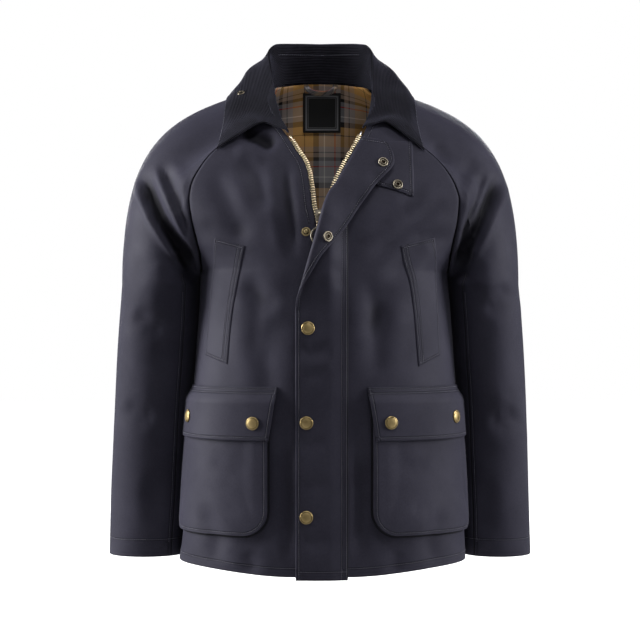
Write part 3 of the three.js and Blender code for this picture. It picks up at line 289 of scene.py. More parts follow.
def crease(x, z, line, depth, width, fade=0.3, lean=0.0):
    """depth * exp(-(distance / width)^2), with a low ridge on each side, fading over a share of each end.
    With a lean the width is larger to the left of the line's way and smaller to its right, or reversed."""
    line = np.asarray(line, float)
    step, start = np.diff(line, axis=0), run_length(line)
    length = np.linalg.norm(step, axis=1)
    best = np.full(np.shape(x), np.inf)
    place, hand = np.zeros(np.shape(x)), np.zeros(np.shape(x))
    for k in range(len(step)):
        dx, dz = x - line[k, 0], z - line[k, 1]
        t = np.clip((dx * step[k, 0] + dz * step[k, 1]) / length[k] ** 2, 0, 1)
        away = np.hypot(dx - t * step[k, 0], dz - t * step[k, 1])
        place = np.where(away < best, (start[k] + t * length[k]) / start[-1], place)
        hand = np.where(away < best, np.sign(step[k, 0] * dz - step[k, 1] * dx), hand)
        best = np.minimum(best, away)
    ends = ramp(0, fade, place) * ramp(0, fade, 1 - place)
    width = width * (1 + lean * hand)
    valley = np.exp(-(best / width) ** 2)
    ridge = np.exp(-((best - RIDGE_AWAY * width) / width) ** 2)
    return depth * ends * (valley - RIDGE_SHARE * ridge)


def sink(x, z, creases):
    """How far the cloth sinks at a place, by all the creases near it."""
    total = np.zeros(np.shape(x))
    for entry in creases:
        total = total + crease(x, z, *entry)
    return total


print("a crease's middle sinks by", crease(0, 0, [[-50, 0], [50, 0]], 5, 10), "of 5 mm")

# %% Crease tables
# Creases: line of (distance, height), depth, width, then where they differ from the usual the share of
# the line over which each end fades, and the lean
FRONT_CREASES = {
    "right": [
        ([[-150, -100], [-120, -160], [-96, -220]], 3.8, 17),
        ([[-168, -178], [-128, -192], [-92, -200]], 1.8, 12),
        ([[-52, -84], [-46, -130], [-38, -180], [-30, -236]], 6.5, 11),
        ([[-112, -84], [-84, -120], [-70, -170]], 4.6, 15),
        ([[-114, -46], [-86, -56], [-57, -76]], 10, 13),
        ([[-40, -440], [-44, -520], [-40, -650]], 4.6, 8),
        ([[-88, -236], [-84, -300], [-92, -380]], 2.4, 12),
        ([[-110, -262], [-84, -280], [-50, -296]], 3.0, 13),
        ([[-58, -300], [-74, -372], [-66, -430]], 3.2, 15),
        ([[-158, -560], [-140, -610], [-150, -655]], 3.0, 12),
        ([[-100, -622], [-92, -640], [-96, -657]], 2.0, 10),
    ],
    "left": [
        ([[186, -190], [140, -204], [84, -262]], 4.4, 13),
        ([[176, -150], [128, -180], [60, -236]], 4.6, 12),
        ([[150, -120], [112, -160], [56, -196]], 3.2, 11),
        ([[108, -262], [84, -290], [56, -344]], 3.2, 13),
        ([[60, -240], [80, -320], [70, -400]], 3.4, 13),
        ([[52, -470], [58, -560], [50, -640]], 4.4, 9),
        ([[168, -566], [150, -612], [158, -655]], 3.0, 12),
        ([[108, -620], [100, -640], [104, -657]], 2.0, 10),
    ],
}
BACK_CREASES = [
    ([[-150, -130], [-112, -200], [-80, -300]], 6.5, 18),
    ([[152, -140], [118, -216], [92, -330]], 6.0, 19),
    ([[-160, -230], [-120, -262], [-50, -280]], 5.0, 12),
    ([[164, -238], [118, -274], [42, -296]], 5.5, 13),
    ([[-60, -360], [-46, -470], [-60, -610]], 5.0, 19),
    ([[40, -340], [58, -450], [42, -600]], 5.4, 21),
    ([[-140, -420], [-126, -520], [-138, -630]], 4.4, 16),
    ([[138, -400], [128, -500], [144, -620]], 4.2, 17),
    ([[-96, -60], [-70, -96], [-30, -110]], 3.0, 14),
    ([[88, -50], [66, -92], [24, -116]], 3.2, 15),
    ([[0, -500], [-6, -580], [4, -650]], 3.0, 14),
]


def front_sink(points):
    """Creases of the front under a set of points, so that what lies on it follows them."""
    x, z = points[..., 0], points[..., 2]
    both = sink(x, z, FRONT_CREASES["right"]) * (x < 0) + sink(x, z, FRONT_CREASES["left"]) * (x >= 0)
    return both * ramp(20, 45, np.abs(x))


print("creases in front and behind:", sum(map(len, FRONT_CREASES.values())), len(BACK_CREASES))

# %% [markdown]
# A piece of cloth is two grids of points, an outer and an inner face, joined round the rim by a row of
# points that stands out by half the thickness, so the edge looks turned and not cut. The faces carry a
# UV map in metres along the cloth and marks for the materials: the distance to a stitched row and to a
# seam, the place across corduroy, and a share of painted shade, mostly from how deep in a fold a point
# lies. Solidify could make the wall too, but it knows nothing of rims or marks.

# %% Grids and their edges
def grid_normals(grid, wrap=False):
    """Cross product of the steps along the rows and across the columns, from each point's neighbours."""
    if wrap:
        across = np.roll(grid, -1, axis=1) - np.roll(grid, 1, axis=1)
    else:
        across = np.gradient(grid, axis=1)
    return unit(np.cross(np.gradient(grid, axis=0), across))


def outward(grid, wrap=False, centre=(0, 0)):
    """The grid's normals, turned as a whole to point away from a centre line."""
    normals = grid_normals(grid, wrap)
    mid = normals.shape[0] // 2, normals.shape[1] // 2
    away = grid[mid] - np.array([*centre, grid[mid][2]])
    return normals if np.dot(normals[mid], away) > 0 else -normals


def moved(grid, normals, distance):
    """A grid moved along its normals, each point by its own distance."""
    return grid + normals * distance[..., None]


def two_faces(middle, normals, thickness):
    """The outer and the inner face of a cloth, from its middle."""
    return middle + normals * thickness / 2, middle - normals * thickness / 2


def grid_cells(rows, cols, wrap=False):
    """Row and column numbers of the four corners of each cell of a grid."""
    i, j = np.meshgrid(np.arange(rows - 1), np.arange(cols if wrap else cols - 1), indexing="ij")
    i, j = i.ravel(), j.ravel()
    return np.stack([i, i + 1, i + 1, i], 1), np.stack([j, j, j + 1, j + 1], 1)


def to_last(measure):
    """From a length across the cloth to the length left to the last column."""
    return measure[:, -1:] - measure


def lengths(grid, axis, wrap=False):
    """Length along the cloth from the grid's first row or column to each point, in millimetres."""
    if wrap:
        grid = np.concatenate([grid, grid[:, :1]], axis=1)
    step = np.linalg.norm(np.diff(grid, axis=axis), axis=-1)
    pad = [(0, 0), (0, 0)]
    pad[axis] = (1, 0)
    return np.cumsum(np.pad(step, pad), axis=axis)


def rim_path(rows, cols, wrap=False):
    """Closed walks round the open edges of a grid, as lists of (rows, columns)."""
    if wrap:
        j = np.arange(cols)
        return [(np.zeros(cols, int), j), (np.full(cols, rows - 1), j[::-1])]
    i = np.concatenate([np.zeros(cols, int), np.arange(1, rows), np.full(cols - 1, rows - 1),
                        np.arange(rows - 2, 0, -1)])
    j = np.concatenate([np.arange(cols), np.full(rows - 1, cols - 1), np.arange(cols - 2, -1, -1),
                        np.zeros(rows - 2, int)])
    return [(i, j)]


print("cells of a grid of 3 by 3 points:", len(grid_cells(3, 3)[0]))

# %% Meshes and marks
def make_object(name, points, faces, material, corner_uv=None, marks=None):
    """A mesh of four-cornered faces from arrays, in metres, with its UV map and marks, smooth shaded."""
    mesh = bpy.data.meshes.new(name)
    mesh.vertices.add(len(points))
    mesh.vertices.foreach_set("co", (np.asarray(points) * MM).astype(np.float32).ravel())
    mesh.loops.add(faces.size)
    mesh.loops.foreach_set("vertex_index", faces.astype(np.int32).ravel())
    mesh.polygons.add(len(faces))
    mesh.polygons.foreach_set("loop_start", np.arange(len(faces), dtype=np.int32) * 4)
    mesh.polygons.foreach_set("use_smooth", np.ones(len(faces), bool))
    if corner_uv is not None:
        layer = mesh.uv_layers.new(name="cloth")
        layer.data.foreach_set("uv", (np.asarray(corner_uv) * MM).astype(np.float32).ravel())
    for mark, values in (marks or {}).items():
        attribute = mesh.attributes.new(mark, "FLOAT", "POINT")
        attribute.data.foreach_set("value", np.asarray(values, np.float32).ravel())
    mesh.update(calc_edges=True)
    mesh.materials.append(material)
    thing = bpy.data.objects.new(name, mesh)
    bpy.context.scene.collection.objects.link(thing)
    return thing


def volume(points, faces):
    """Signed volume of a closed mesh of four-cornered faces."""
    a, b, c, d = (points[faces[:, k]] for k in range(4))
    return np.sum(dot(a, np.cross(b, c)) + dot(a, np.cross(c, d))) / 6


def outward_faces(points, faces):
    """The faces, all turned round where they point inwards."""
    return faces[:, ::-1] if volume(points, faces) < 0 else faces


def copies(faces, size, count):
    """The faces of many equal shapes with size points each."""
    return (faces[None] + size * np.arange(count)[:, None, None]).reshape(-1, 4)


MARK_FAR = 100.0
MARK_REACH = 40.0


def as_mark(distance):
    """Signed millimetres as a mark: 100 is on the line. A mesh without the mark reads 0, which is far."""
    return MARK_FAR + np.clip(distance, -MARK_REACH, MARK_REACH)


def nearest(*distances):
    """Of several signed distances, the one closest to zero."""
    stack = np.stack(np.broadcast_arrays(*distances))
    pick = np.argmin(np.abs(stack), axis=0)
    return np.take_along_axis(stack, pick[None], 0)[0]


print("a mark on its line reads", as_mark(0))

# %% Walls of cloth
def cloth_wall(name, outer, inner, material, wrap=False, grain=0, stitch=None, seam=None, **more):
    """Closed wall between two grids, with a rounded rim. The marks are the same on both faces: stitch and
    seam as distances, more as they are. The grain runs straight along the column with its number."""
    rows, cols = outer.shape[:2]
    size = rows * cols
    across = lengths(outer, 1, wrap)
    across = across - across[:, grain:grain + 1]
    along = lengths(outer, 0)
    if wrap:
        along = np.concatenate([along, along[:, :1]], axis=1)
    i, j = grid_cells(rows, cols, wrap)
    top = i * cols + j % cols
    uv_top = np.stack([across[i, j], along[i, j]], -1)
    faces = [top, size + top[:, ::-1]]
    uvs = [uv_top, uv_top[:, ::-1]]
    points = [outer.reshape(-1, 3), inner.reshape(-1, 3)]
    lines = {"stitch_mm": stitch, "seam_mm": seam}
    more.update({mark: as_mark(values) for mark, values in lines.items() if values is not None})
    marks = {mark: [values.ravel()] * 2 for mark, values in more.items()}
    base = 2 * size
    for walk_i, walk_j in rim_path(rows, cols, wrap):
        inside_i = np.clip(walk_i, 1, rows - 2)
        inside_j = walk_j if wrap else np.clip(walk_j, 1, cols - 2)
        edge, back = outer[walk_i, walk_j], inner[walk_i, walk_j]
        out = unit(edge - outer[inside_i, inside_j])
        thick = np.linalg.norm(edge - back, axis=-1, keepdims=True)
        points.append((edge + back) / 2 + out * thick / 2)
        count = len(walk_i)
        a = walk_i * cols + walk_j
        r = base + np.arange(count)
        a1, r1 = np.roll(a, -1), np.roll(r, -1)
        faces += [np.stack([a, a1, r1, r], 1), np.stack([r, r1, size + a1, size + a], 1)]
        uv = np.stack([across[walk_i, walk_j], along[walk_i, walk_j]], -1)
        uv1 = np.roll(uv, -1, axis=0)
        uvs += [np.stack([uv, uv1, uv1, uv], 1)] * 2
        for mark in marks.values():
            mark.append(mark[0][a])
        base += count
    points, faces, uvs = np.concatenate(points), np.concatenate(faces), np.concatenate(uvs)
    if volume(points, faces) < 0:
        faces, uvs = faces[:, ::-1], uvs[:, ::-1]
    joined = {mark: np.concatenate(parts) for mark, parts in marks.items()}
    return make_object(name, points, faces, material, uvs, joined)


print("shell and collar, mm thick:", SHELL, COLLAR_CLOTH)

# %% [markdown]
# Materials come next. Waxed cotton is a dense plain weave, nearly black navy, with a soft sheen from the
# wax and faint patches where it has rubbed. The weave and the patches are procedural: the weave follows
# the cloth through its UV map, and the patches follow the object, so that they cross from panel to panel
# without a repeat. Shade is painted into the colour: deep folds, seams and the ground beside a stitch are
# painted darker, where shade falls.

# %% Shader helpers
def new_material(name):
    """An empty material with a Principled shader. Returns material, tree and shader."""
    material = bpy.data.materials.new(name)
    material.use_nodes = True
    tree = material.node_tree
    tree.nodes.clear()
    output = tree.nodes.new("ShaderNodeOutputMaterial")
    shader = tree.nodes.new("ShaderNodeBsdfPrincipled")
    tree.links.new(shader.outputs["BSDF"], output.inputs["Surface"])
    return material, tree, shader


def feed(tree, socket, value):
    """Set a socket to a number, or link another socket to it."""
    if isinstance(value, bpy.types.NodeSocket):
        tree.links.new(value, socket)
    else:
        socket.default_value = value


def settings(tree, shader, values):
    """Set or link the shader's inputs by their labels; a colour is given as three numbers."""
    for label, value in values.items():
        feed(tree, shader.inputs[label], (*value, 1) if isinstance(value, tuple) else value)


def maths(tree, operation, first, second=0.0, third=0.0):
    """One Math node."""
    node = tree.nodes.new("ShaderNodeMath")
    node.operation = operation
    for socket, value in zip(node.inputs, (first, second, third)):
        feed(tree, socket, value)
    return node.outputs[0]


def noise(tree, vector, scale, detail=3.0, rough=0.55):
    """Noise from 0 to 1, as a number."""
    node = tree.nodes.new("ShaderNodeTexNoise")
    settings(tree, node, {"Vector": vector, "Scale": scale, "Detail": detail, "Roughness": rough})
    return node.outputs["Fac"]


def coordinates(tree, kind):
    """Object or UV coordinates."""
    return tree.nodes.new("ShaderNodeTexCoord").outputs[kind]


def blend_colours(tree, share, first, second):
    """Mix of two colours by a share from 0 to 1."""
    node = tree.nodes.new("ShaderNodeMix")
    node.data_type = "RGBA"
    settings(tree, node, {"Factor": share, "A": first, "B": second})
    return node.outputs["Result"]


def rescale(tree, value, low, high, to_low, to_high):
    """A number moved from one range to another, held at its ends, eased."""
    node = tree.nodes.new("ShaderNodeMapRange")
    node.interpolation_type = "SMOOTHSTEP"
    feed(tree, node.inputs["Value"], value)
    for label, number in zip(("From Min", "From Max", "To Min", "To Max"), (low, high, to_low, to_high)):
        node.inputs[label].default_value = number
    return node.outputs["Result"]


print("shader helpers made")

# %% Marks, stripes and bumps
def marked(tree, mark):
    """A mark of the mesh as a number; a mesh without it reads 0."""
    node = tree.nodes.new("ShaderNodeAttribute")
    node.attribute_name = mark
    return node.outputs["Fac"]


def mark_distance(tree, mark):
    """Millimetres from the line that a mark measures to."""
    return maths(tree, "ABSOLUTE", maths(tree, "SUBTRACT", marked(tree, mark), MARK_FAR))


def split(tree, vector):
    """The three parts of a vector."""
    node = tree.nodes.new("ShaderNodeSeparateXYZ")
    tree.links.new(vector, node.inputs[0])
    return node.outputs


def wave(tree, value, pitch):
    """0.5 + 0.5 sin(2 pi value / pitch)."""
    turn = maths(tree, "MULTIPLY", value, 2 * math.pi / pitch)
    return maths(tree, "MULTIPLY_ADD", maths(tree, "SINE", turn), 0.5, 0.5)


def stripes(tree, vector, axis, pitch_mm):
    """Bands across one axis of a map in metres, 0 to 1, with a pitch in millimetres."""
    return wave(tree, split(tree, vector)[axis], pitch_mm * MM)


def bump(tree, shader, height, distance_mm):
    """Bump of a height from 0 to 1 that stands for a real depth."""
    node = tree.nodes.new("ShaderNodeBump")
    settings(tree, node, {"Distance": distance_mm * MM, "Height": height})
    tree.links.new(node.outputs["Normal"], shader.inputs["Normal"])


print("a mark measures up to", MARK_REACH, "mm from its line")

# %% Waxed cotton
WEAVE_PITCH = 0.55


def waxed_cotton(name, dark, light):
    """Navy cloth: two crossing thread directions, rubbed patches, stitched and seamed grooves, and painted
    shade beside stitches, in seams and in folds.
    """
    material, tree, shader = new_material(name)
    place, cloth = coordinates(tree, "Object"), coordinates(tree, "UV")
    patches = noise(tree, place, 9, 4, 0.6)
    grain = noise(tree, place, 420, 2, 0.7)
    slub = noise(tree, cloth, 160, 2, 0.5)
    share = maths(tree, "MULTIPLY_ADD", rescale(tree, patches, 0.32, 0.72, 0, 1), 0.55,
                  maths(tree, "MULTIPLY", rescale(tree, grain, 0.3, 0.75, 0, 1), 0.35))
    colour = blend_colours(tree, share, dark, light)
    stitched, seamed = mark_distance(tree, "stitch_mm"), mark_distance(tree, "seam_mm")
    # each painted shade: where it lies (beside a stitch, in a seam, in a fold), its strength, and how much of
    # the cloth's dark colour is left in it
    for where, strength, left in ((rescale(tree, stitched, 0.7, 2.6, 1, 0), 0.5, 0.45),
                                  (rescale(tree, seamed, 0.3, 1.8, 1, 0), 0.85, 0.2),
                                  (marked(tree, "fold"), 0.8, 0.15)):
        shade = tuple(c * left for c in dark)
        colour = blend_colours(tree, maths(tree, "MULTIPLY", where, strength), colour, shade)
    settings(tree, shader, {
        "Base Color": colour, "Roughness": rescale(tree, patches, 0.3, 0.7, 0.68, 0.58),
        "Specular IOR Level": 0.07, "Sheen Weight": 0.03, "Sheen Roughness": 0.4,
        "Sheen Tint": (0.75, 0.76, 0.9)})
    warp, weft = stripes(tree, cloth, 0, WEAVE_PITCH), stripes(tree, cloth, 1, WEAVE_PITCH)
    weave = maths(tree, "MULTIPLY", maths(tree, "MAXIMUM", warp, weft), 0.035)
    height = maths(tree, "MULTIPLY_ADD", slub, 0.05, weave)
    height = maths(tree, "SUBTRACT", height, rescale(tree, stitched, 0.1, 1.5, 0.45, 0))
    height = maths(tree, "SUBTRACT", height, rescale(tree, seamed, 0.1, 2.2, 1.0, 0))
    bump(tree, shader, height, 1.0)
    return material


shell_cloth = waxed_cotton("shell", (0.0135, 0.0129, 0.0205), (0.0235, 0.0226, 0.0340))
print("shell cloth made")

# %% [markdown]
# The collar is corduroy: cut pile in raised cords, called wales, that run along the collar. The mesh
# carries each point's distance from the collar's fold, and this material raises a cord every 2.3 mm of
# it. Cords cut into the mesh would be sharper up close, but would need a million faces to stay clean.

# %% Corduroy
WALE_PITCH = 2.3


def corduroy_cloth():
    """Near black pile, lighter where it has been brushed, by coarse noise and by fine tufts, with painted
    shade in the valleys between the cords.
    """
    material, tree, shader = new_material("corduroy")
    place = coordinates(tree, "Object")
    nap = noise(tree, place, 60, 4, 0.7)
    tuft = noise(tree, place, 900, 2, 0.6)
    share = maths(tree, "MULTIPLY", rescale(tree, nap, 0.35, 0.7, 0.1, 1),
                  rescale(tree, tuft, 0.3, 0.7, 0.4, 1))
    colour = blend_colours(tree, share, (0.0028, 0.0028, 0.0048), (0.0105, 0.0098, 0.015))
    raised = maths(tree, "POWER", wave(tree, marked(tree, "wale_mm"), WALE_PITCH), 0.6)
    # painted shade: the valleys between the cords are near black
    settings(tree, shader, {
        "Base Color": blend_colours(tree, raised, (0.001, 0.001, 0.002), colour), "Roughness": 0.9,
        "Specular IOR Level": 0.08, "Sheen Weight": 0.22, "Sheen Roughness": 0.35,
        "Sheen Tint": (0.32, 0.32, 0.48)})
    bump(tree, shader, maths(tree, "MULTIPLY_ADD", tuft, 0.25, raised), 0.7)
    return material


corduroy = corduroy_cloth()
print("cords to the hand's width:", round(80 / WALE_PITCH))

# %% [markdown]
# The lining is a woven check in common colours. An image would be the usual way to give it. Here two
# colour ramps, one for each thread direction, are mixed half and half, as the threads are, so that the
# bands stay sharp at any distance. The label is bare: a dark patch with a plain border.

# %% Lining check
# The check's bands: the share of the repeat where each begins, and its colour
MUSTARD, BEIGE, GREY = (0.78, 0.42, 0.125), (0.54, 0.39, 0.30), (0.36, 0.355, 0.38)
CHARCOAL, OFF_WHITE, RED = (0.012, 0.011, 0.013), (0.95, 0.92, 0.86), (0.62, 0.012, 0.02)
WARP_BANDS = [(0.0, MUSTARD), (0.11, CHARCOAL), (0.128, MUSTARD), (0.26, CHARCOAL), (0.35, GREY),
              (0.43, OFF_WHITE), (0.448, GREY), (0.60, RED), (0.618, GREY), (0.70, CHARCOAL), (0.76, BEIGE),
              (0.83, CHARCOAL), (0.845, BEIGE), (0.93, MUSTARD)]


def lining_cloth(name, repeat_mm, wear):
    """A woven check: the same bands as warp and as weft, half of each, with painted shade low down in the
    neck.
    """
    material, tree, shader = new_material(name)
    cloth = coordinates(tree, "UV")
    colours = []
    for axis, shift in ((0, 0.37), (1, 0.12)):
        turn = maths(tree, "MULTIPLY_ADD", split(tree, cloth)[axis], 1 / (repeat_mm * MM), shift)
        bands = tree.nodes.new("ShaderNodeValToRGB")
        bands.color_ramp.interpolation = "CONSTANT"
        stops = bands.color_ramp.elements
        while len(stops) < len(WARP_BANDS):
            stops.new(0.5)
        for stop, (start, colour) in zip(stops, WARP_BANDS):
            stop.position = start
            stop.color = (*colour, 1)
        tree.links.new(maths(tree, "FRACT", turn), bands.inputs["Fac"])
        colours.append(bands.outputs["Color"])
    colour = blend_colours(tree, 0.5, *colours)
    fade = noise(tree, cloth, 40, 3)
    colour = blend_colours(tree, maths(tree, "MULTIPLY", fade, wear), colour, (0.05, 0.04, 0.035))
    # painted shade, darker towards the bottom of the neck, by the fold mark
    deep = maths(tree, "MULTIPLY", marked(tree, "fold"), 0.62)
    colour = blend_colours(tree, deep, colour, (0.03, 0.024, 0.02))
    settings(tree, shader, {"Base Color": colour, "Roughness": 0.82, "Specular IOR Level": 0.25})
    weave = maths(tree, "MULTIPLY", stripes(tree, cloth, 0, 0.7), stripes(tree, cloth, 1, 0.7))
    bump(tree, shader, weave, 0.12)
    return material


lining_check = lining_cloth("lining", 92, 0.15)
loop_check = lining_cloth("loop", 30, 1.3)
print("bands in the check:", len(WARP_BANDS))

# %% Label, tape and thread
def label_cloth(width_mm, height_mm):
    """A black woven patch with a plain grey border, drawn by the distance to its edge."""
    material, tree, shader = new_material("label")
    cloth = coordinates(tree, "UV")
    place = split(tree, cloth)
    gaps = [maths(tree, "MINIMUM", place[axis], maths(tree, "SUBTRACT", size * MM, place[axis]))
            for axis, size in ((0, width_mm), (1, height_mm))]
    edge = maths(tree, "DIVIDE", maths(tree, "MINIMUM", *gaps), MM)
    band = maths(tree, "MULTIPLY", rescale(tree, edge, 3.0, 3.4, 0, 1), rescale(tree, edge, 5.6, 6.0, 1, 0))
    line = maths(tree, "MULTIPLY", rescale(tree, edge, 7.0, 7.2, 0, 1), rescale(tree, edge, 7.6, 7.8, 1, 0))
    threads = stripes(tree, cloth, 0, 0.5)
    share = maths(tree, "MULTIPLY", maths(tree, "MAXIMUM", band, line),
                  maths(tree, "MULTIPLY_ADD", threads, 0.4, 0.6))
    colour = blend_colours(tree, share, (0.006, 0.006, 0.007), (0.2, 0.2, 0.215))
    settings(tree, shader, {"Base Color": colour, "Roughness": 0.6})
    bump(tree, shader, maths(tree, "MULTIPLY_ADD", share, 0.6, maths(tree, "MULTIPLY", threads, 0.3)), 0.25)
    return material


def plain_cloth(name, dark, light, roughness, pitch_mm):
    """A tape or thread: fine ribs and a slightly uneven colour."""
    material, tree, shader = new_material(name)
    place = coordinates(tree, "Object")
    share = rescale(tree, noise(tree, place, 250, 3), 0.3, 0.7, 0, 1)
    settings(tree, shader, {"Base Color": blend_colours(tree, share, dark, light), "Roughness": roughness})
    bump(tree, shader, stripes(tree, place, 2, pitch_mm), 0.15)
    return material


tape_cloth = plain_cloth("tape", (0.008, 0.008, 0.012), (0.018, 0.018, 0.025), 0.8, 0.8)
thread = plain_cloth("thread", (0.05, 0.05, 0.072), (0.085, 0.084, 0.115), 0.6, 0.4)
print("cloth materials made")

# %% [markdown]
# The trim is aged brass: warm metal, patchy with age by noise on the object, and bright on its rims. Its
# hollows, the underside of its rim and the open centres of the sockets are painted near black as shade, by
# a mark that each turned profile carries. The pointiness of the mesh could find them too, but it changes
# with the number of faces.

# %% Metals
def metal(name, bright, dull, rough_low, rough_high):
    """Aged metal: two colours and two roughnesses mixed by noise, with fine scratches, and painted shade by
    the hollow mark.
    """
    material, tree, shader = new_material(name)
    place = coordinates(tree, "Object")
    age = rescale(tree, noise(tree, place, 70, 3, 0.5), 0.3, 0.75, 0, 1)
    aged = blend_colours(tree, age, bright, dull)
    # the mark from each profile paints shade, near black, into its hollows and under its rim
    settings(tree, shader, {
        "Base Color": blend_colours(tree, marked(tree, "hollow_shade"), aged, (0.012, 0.009, 0.006)),
        "Roughness": rescale(tree, noise(tree, place, 300, 2), 0.3, 0.7, rough_low, rough_high),
        "Metallic": 1.0})
    bump(tree, shader, noise(tree, place, 900, 3), 0.02)
    return material


brass = metal("brass", (0.31, 0.235, 0.11), (0.19, 0.14, 0.062), 0.36, 0.5)
antique = metal("antique", (0.19, 0.17, 0.135), (0.095, 0.08, 0.058), 0.32, 0.46)
old_brass = metal("old_brass", (0.21, 0.165, 0.085), (0.11, 0.085, 0.045), 0.36, 0.5)
zip_metal = metal("zip_metal", (0.60, 0.50, 0.34), (0.40, 0.325, 0.21), 0.26, 0.4)
steel = metal("steel", (0.42, 0.42, 0.42), (0.28, 0.28, 0.28), 0.28, 0.4)
print("metals made")

# %% [markdown]
# Stitches are small raised threads, 3 mm apart, along a line on a finished piece of cloth. A line is
# found by its distance from the piece's own edge, as a machine's guide finds it. Each stitch is a thin
# four-sided grain whose ends dip into the cloth. All the stitches of a piece are one mesh.

# %% Stitches
STITCH_PITCH = 3.1
STITCH_LENGTH = 2.5
STITCH_RADIUS = 0.34


def sample(grid, i, j):
    """Values of a grid between its points, by the four neighbours."""
    rows, cols = grid.shape[:2]
    i, j = np.clip(i, 0, rows - 1.001), np.clip(j, 0, cols - 1.001)
    i0, j0 = i.astype(int), j.astype(int)
    u, v = (i - i0)[:, None], (j - j0)[:, None]
    low = grid[i0, j0] * (1 - v) + grid[i0, j0 + 1] * v
    high = grid[i0 + 1, j0] * (1 - v) + grid[i0 + 1, j0 + 1] * v
    return low * (1 - u) + high * u


def row_line(grid, edge, offset, start=0.0, stop=0.0):
    """Grid places of a line along an edge at an offset in millimetres: edge is low, high, left or right.
    start and stop leave out millimetres at its two ends."""
    flip = edge in ("high", "right")
    axis = 0 if edge in ("low", "high") else 1
    measure = lengths(grid, axis)
    other = lengths(grid, 1 - axis)
    if axis == 1:
        measure, other = measure.T, other.T
    total = measure[-1:]
    wanted = total - offset if flip else np.full_like(total, offset)
    steps = np.arange(measure.shape[0], dtype=float)
    place = read_rows(measure.T, np.tile(steps, (measure.shape[1], 1)), wanted.T)[:, 0]
    line = np.arange(len(place), dtype=float)
    at = other[np.clip(place.astype(int), 0, other.shape[0] - 1), line.astype(int)]
    first, last = np.interp([start, at[-1] - stop], at, line)
    fine = np.linspace(first, last, 4 * len(line))
    place = np.interp(fine, line, place)
    return (place, fine) if axis == 0 else (fine, place)


print("stitches to the hand's width:", round(80 / STITCH_PITCH))

# %% Rows of stitches
def stitches(name, grid, normals, lines):
    """One mesh of stitches along lines of grid places."""
    centres, directions, ups = [], [], []
    for i, j in lines:
        points = sample(grid, i, j)
        length = run_length(points)
        at = (np.arange(int(length[-1] / STITCH_PITCH)) + 0.5) * STITCH_PITCH
        ahead, behind = at_lengths(at + 0.8, length, points), at_lengths(at - 0.8, length, points)
        centres.append((ahead + behind) / 2)
        directions.append(unit(ahead - behind))
        ups.append(unit(at_lengths(at, length, sample(normals, i, j))))
    centre, along, up = (np.concatenate(part) for part in (centres, directions, ups))
    beside = unit(np.cross(along, up))
    places = np.array([-0.5, -0.26, 0.26, 0.5]) * STITCH_LENGTH
    wide = np.array([0.35, 1.0, 1.0, 0.35]) * STITCH_RADIUS
    lift = np.array([-0.25, 0.12, 0.12, -0.25])
    angle = np.arange(4) * math.pi / 2 + math.pi / 4
    ring = (centre[:, None, None] + along[:, None, None] * places[None, :, None, None]
            + up[:, None, None] * (lift[:, None] + wide[:, None] * np.sin(angle))[None, :, :, None]
            + beside[:, None, None] * (wide[:, None] * np.cos(angle))[None, :, :, None])
    k, s = np.meshgrid(np.arange(3), np.arange(4), indexing="ij")
    k, s = k.ravel(), s.ravel()
    side = np.stack([k * 4 + s, k * 4 + (s + 1) % 4, (k + 1) * 4 + (s + 1) % 4, (k + 1) * 4 + s], 1)
    faces = np.concatenate([side, [[0, 3, 2, 1]], [[12, 13, 14, 15]]])
    one = ring[0].reshape(-1, 3)
    faces = copies(outward_faces(one - one.mean(0), faces), len(one), len(centre))
    piece = make_object(name, ring.reshape(-1, 3), faces, thread)
    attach(piece, "root")


print("thread, mm thick:", 2 * STITCH_RADIUS)

# %% [markdown]
# What stands for a node of the frame is set up in one place: it rides on a body, and the node is hidden.
# The flat size of a piece of cloth is that of its grid before any crease, measured along the cloth.

# %% Standing for nodes
flat_sizes = {}


def stand_for(piece, node, body="root"):
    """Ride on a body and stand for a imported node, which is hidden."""
    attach(piece, body)
    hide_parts(node)


def finish_cloth(piece, grid, node, wrap=False):
    """Ride on the root body, stand for a node, and say the cut: widest, longest and the flat area."""
    across, along = lengths(grid, 1, wrap), lengths(grid, 0)
    i, j = grid_cells(*grid.shape[:2], wrap)
    a, b, c, d = (grid[i[:, k], j[:, k] % grid.shape[1]] for k in range(4))
    area = np.sum(np.linalg.norm(np.cross(c - a, d - b), axis=-1)) / 2
    width, length = across[:, -1].max(), along[-1].max()
    stand_for(piece, node)
    flat_sizes[piece.name] = (round(width), round(length), round(area / 100))


print("nodes that get looks:", len(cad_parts))

# %% [markdown]
# ## The fronts
# Each front runs from the zip to the side seam and from the hem up to the raglan seam and the neck. The
# cloth dips where it is sewn into a seam, and the seam's ground is painted darker as shade; together they
# make the dark line between two panels.

# %% Fronts
def seam_dip(distance, depth=1.5, width=1.9):
    """The roll of the cloth into a seam: depth * exp(-(distance / width)^2)."""
    return depth * np.exp(-(distance / width) ** 2)


HEM_RISE = 10


def lift_hem(grid):
    """The hem rises towards the side seams, and the cloth above it follows for a hand's width."""
    rise = HEM_RISE * ramp(40, 200, np.abs(grid[..., 0])) * (1 - ramp(HEM_Z, -560, grid[..., 2]))
    return moved(grid, np.array([0, 0, 1]), rise)


FRONT_ROWS = heights((HEM_Z, -640, 12), (-640, ARMPIT_Z, 96), (ARMPIT_Z, FRONT_TOP_Z, 78))
FRONT_SHARES = np.linspace(0, 1, 84)
HEM_STITCH, ZIP_STITCH, ZIP_STITCH_LOW_Z = 11, 8, -185
SEAM_GAP = 0.15
# painted shade: a fold deeper than these sinks is darkened in the cloth's colour
FOLD_SHADE_DEPTHS = (2.5, 9)      # a sink of this much starts to darken, and of this much is darkest


def front_grid(side, z, shares):
    """The front's face from its edge to the seam."""
    first = length_at(side, z, smooth(FRONT_EDGE[side], z) + 1.1 * ramp(-200, -180, z))
    last = front_curve(side, z)[2][:, -1] - SEAM_GAP
    return lift_hem(on_front(side, z, between(first[:, None], last[:, None], shares)))


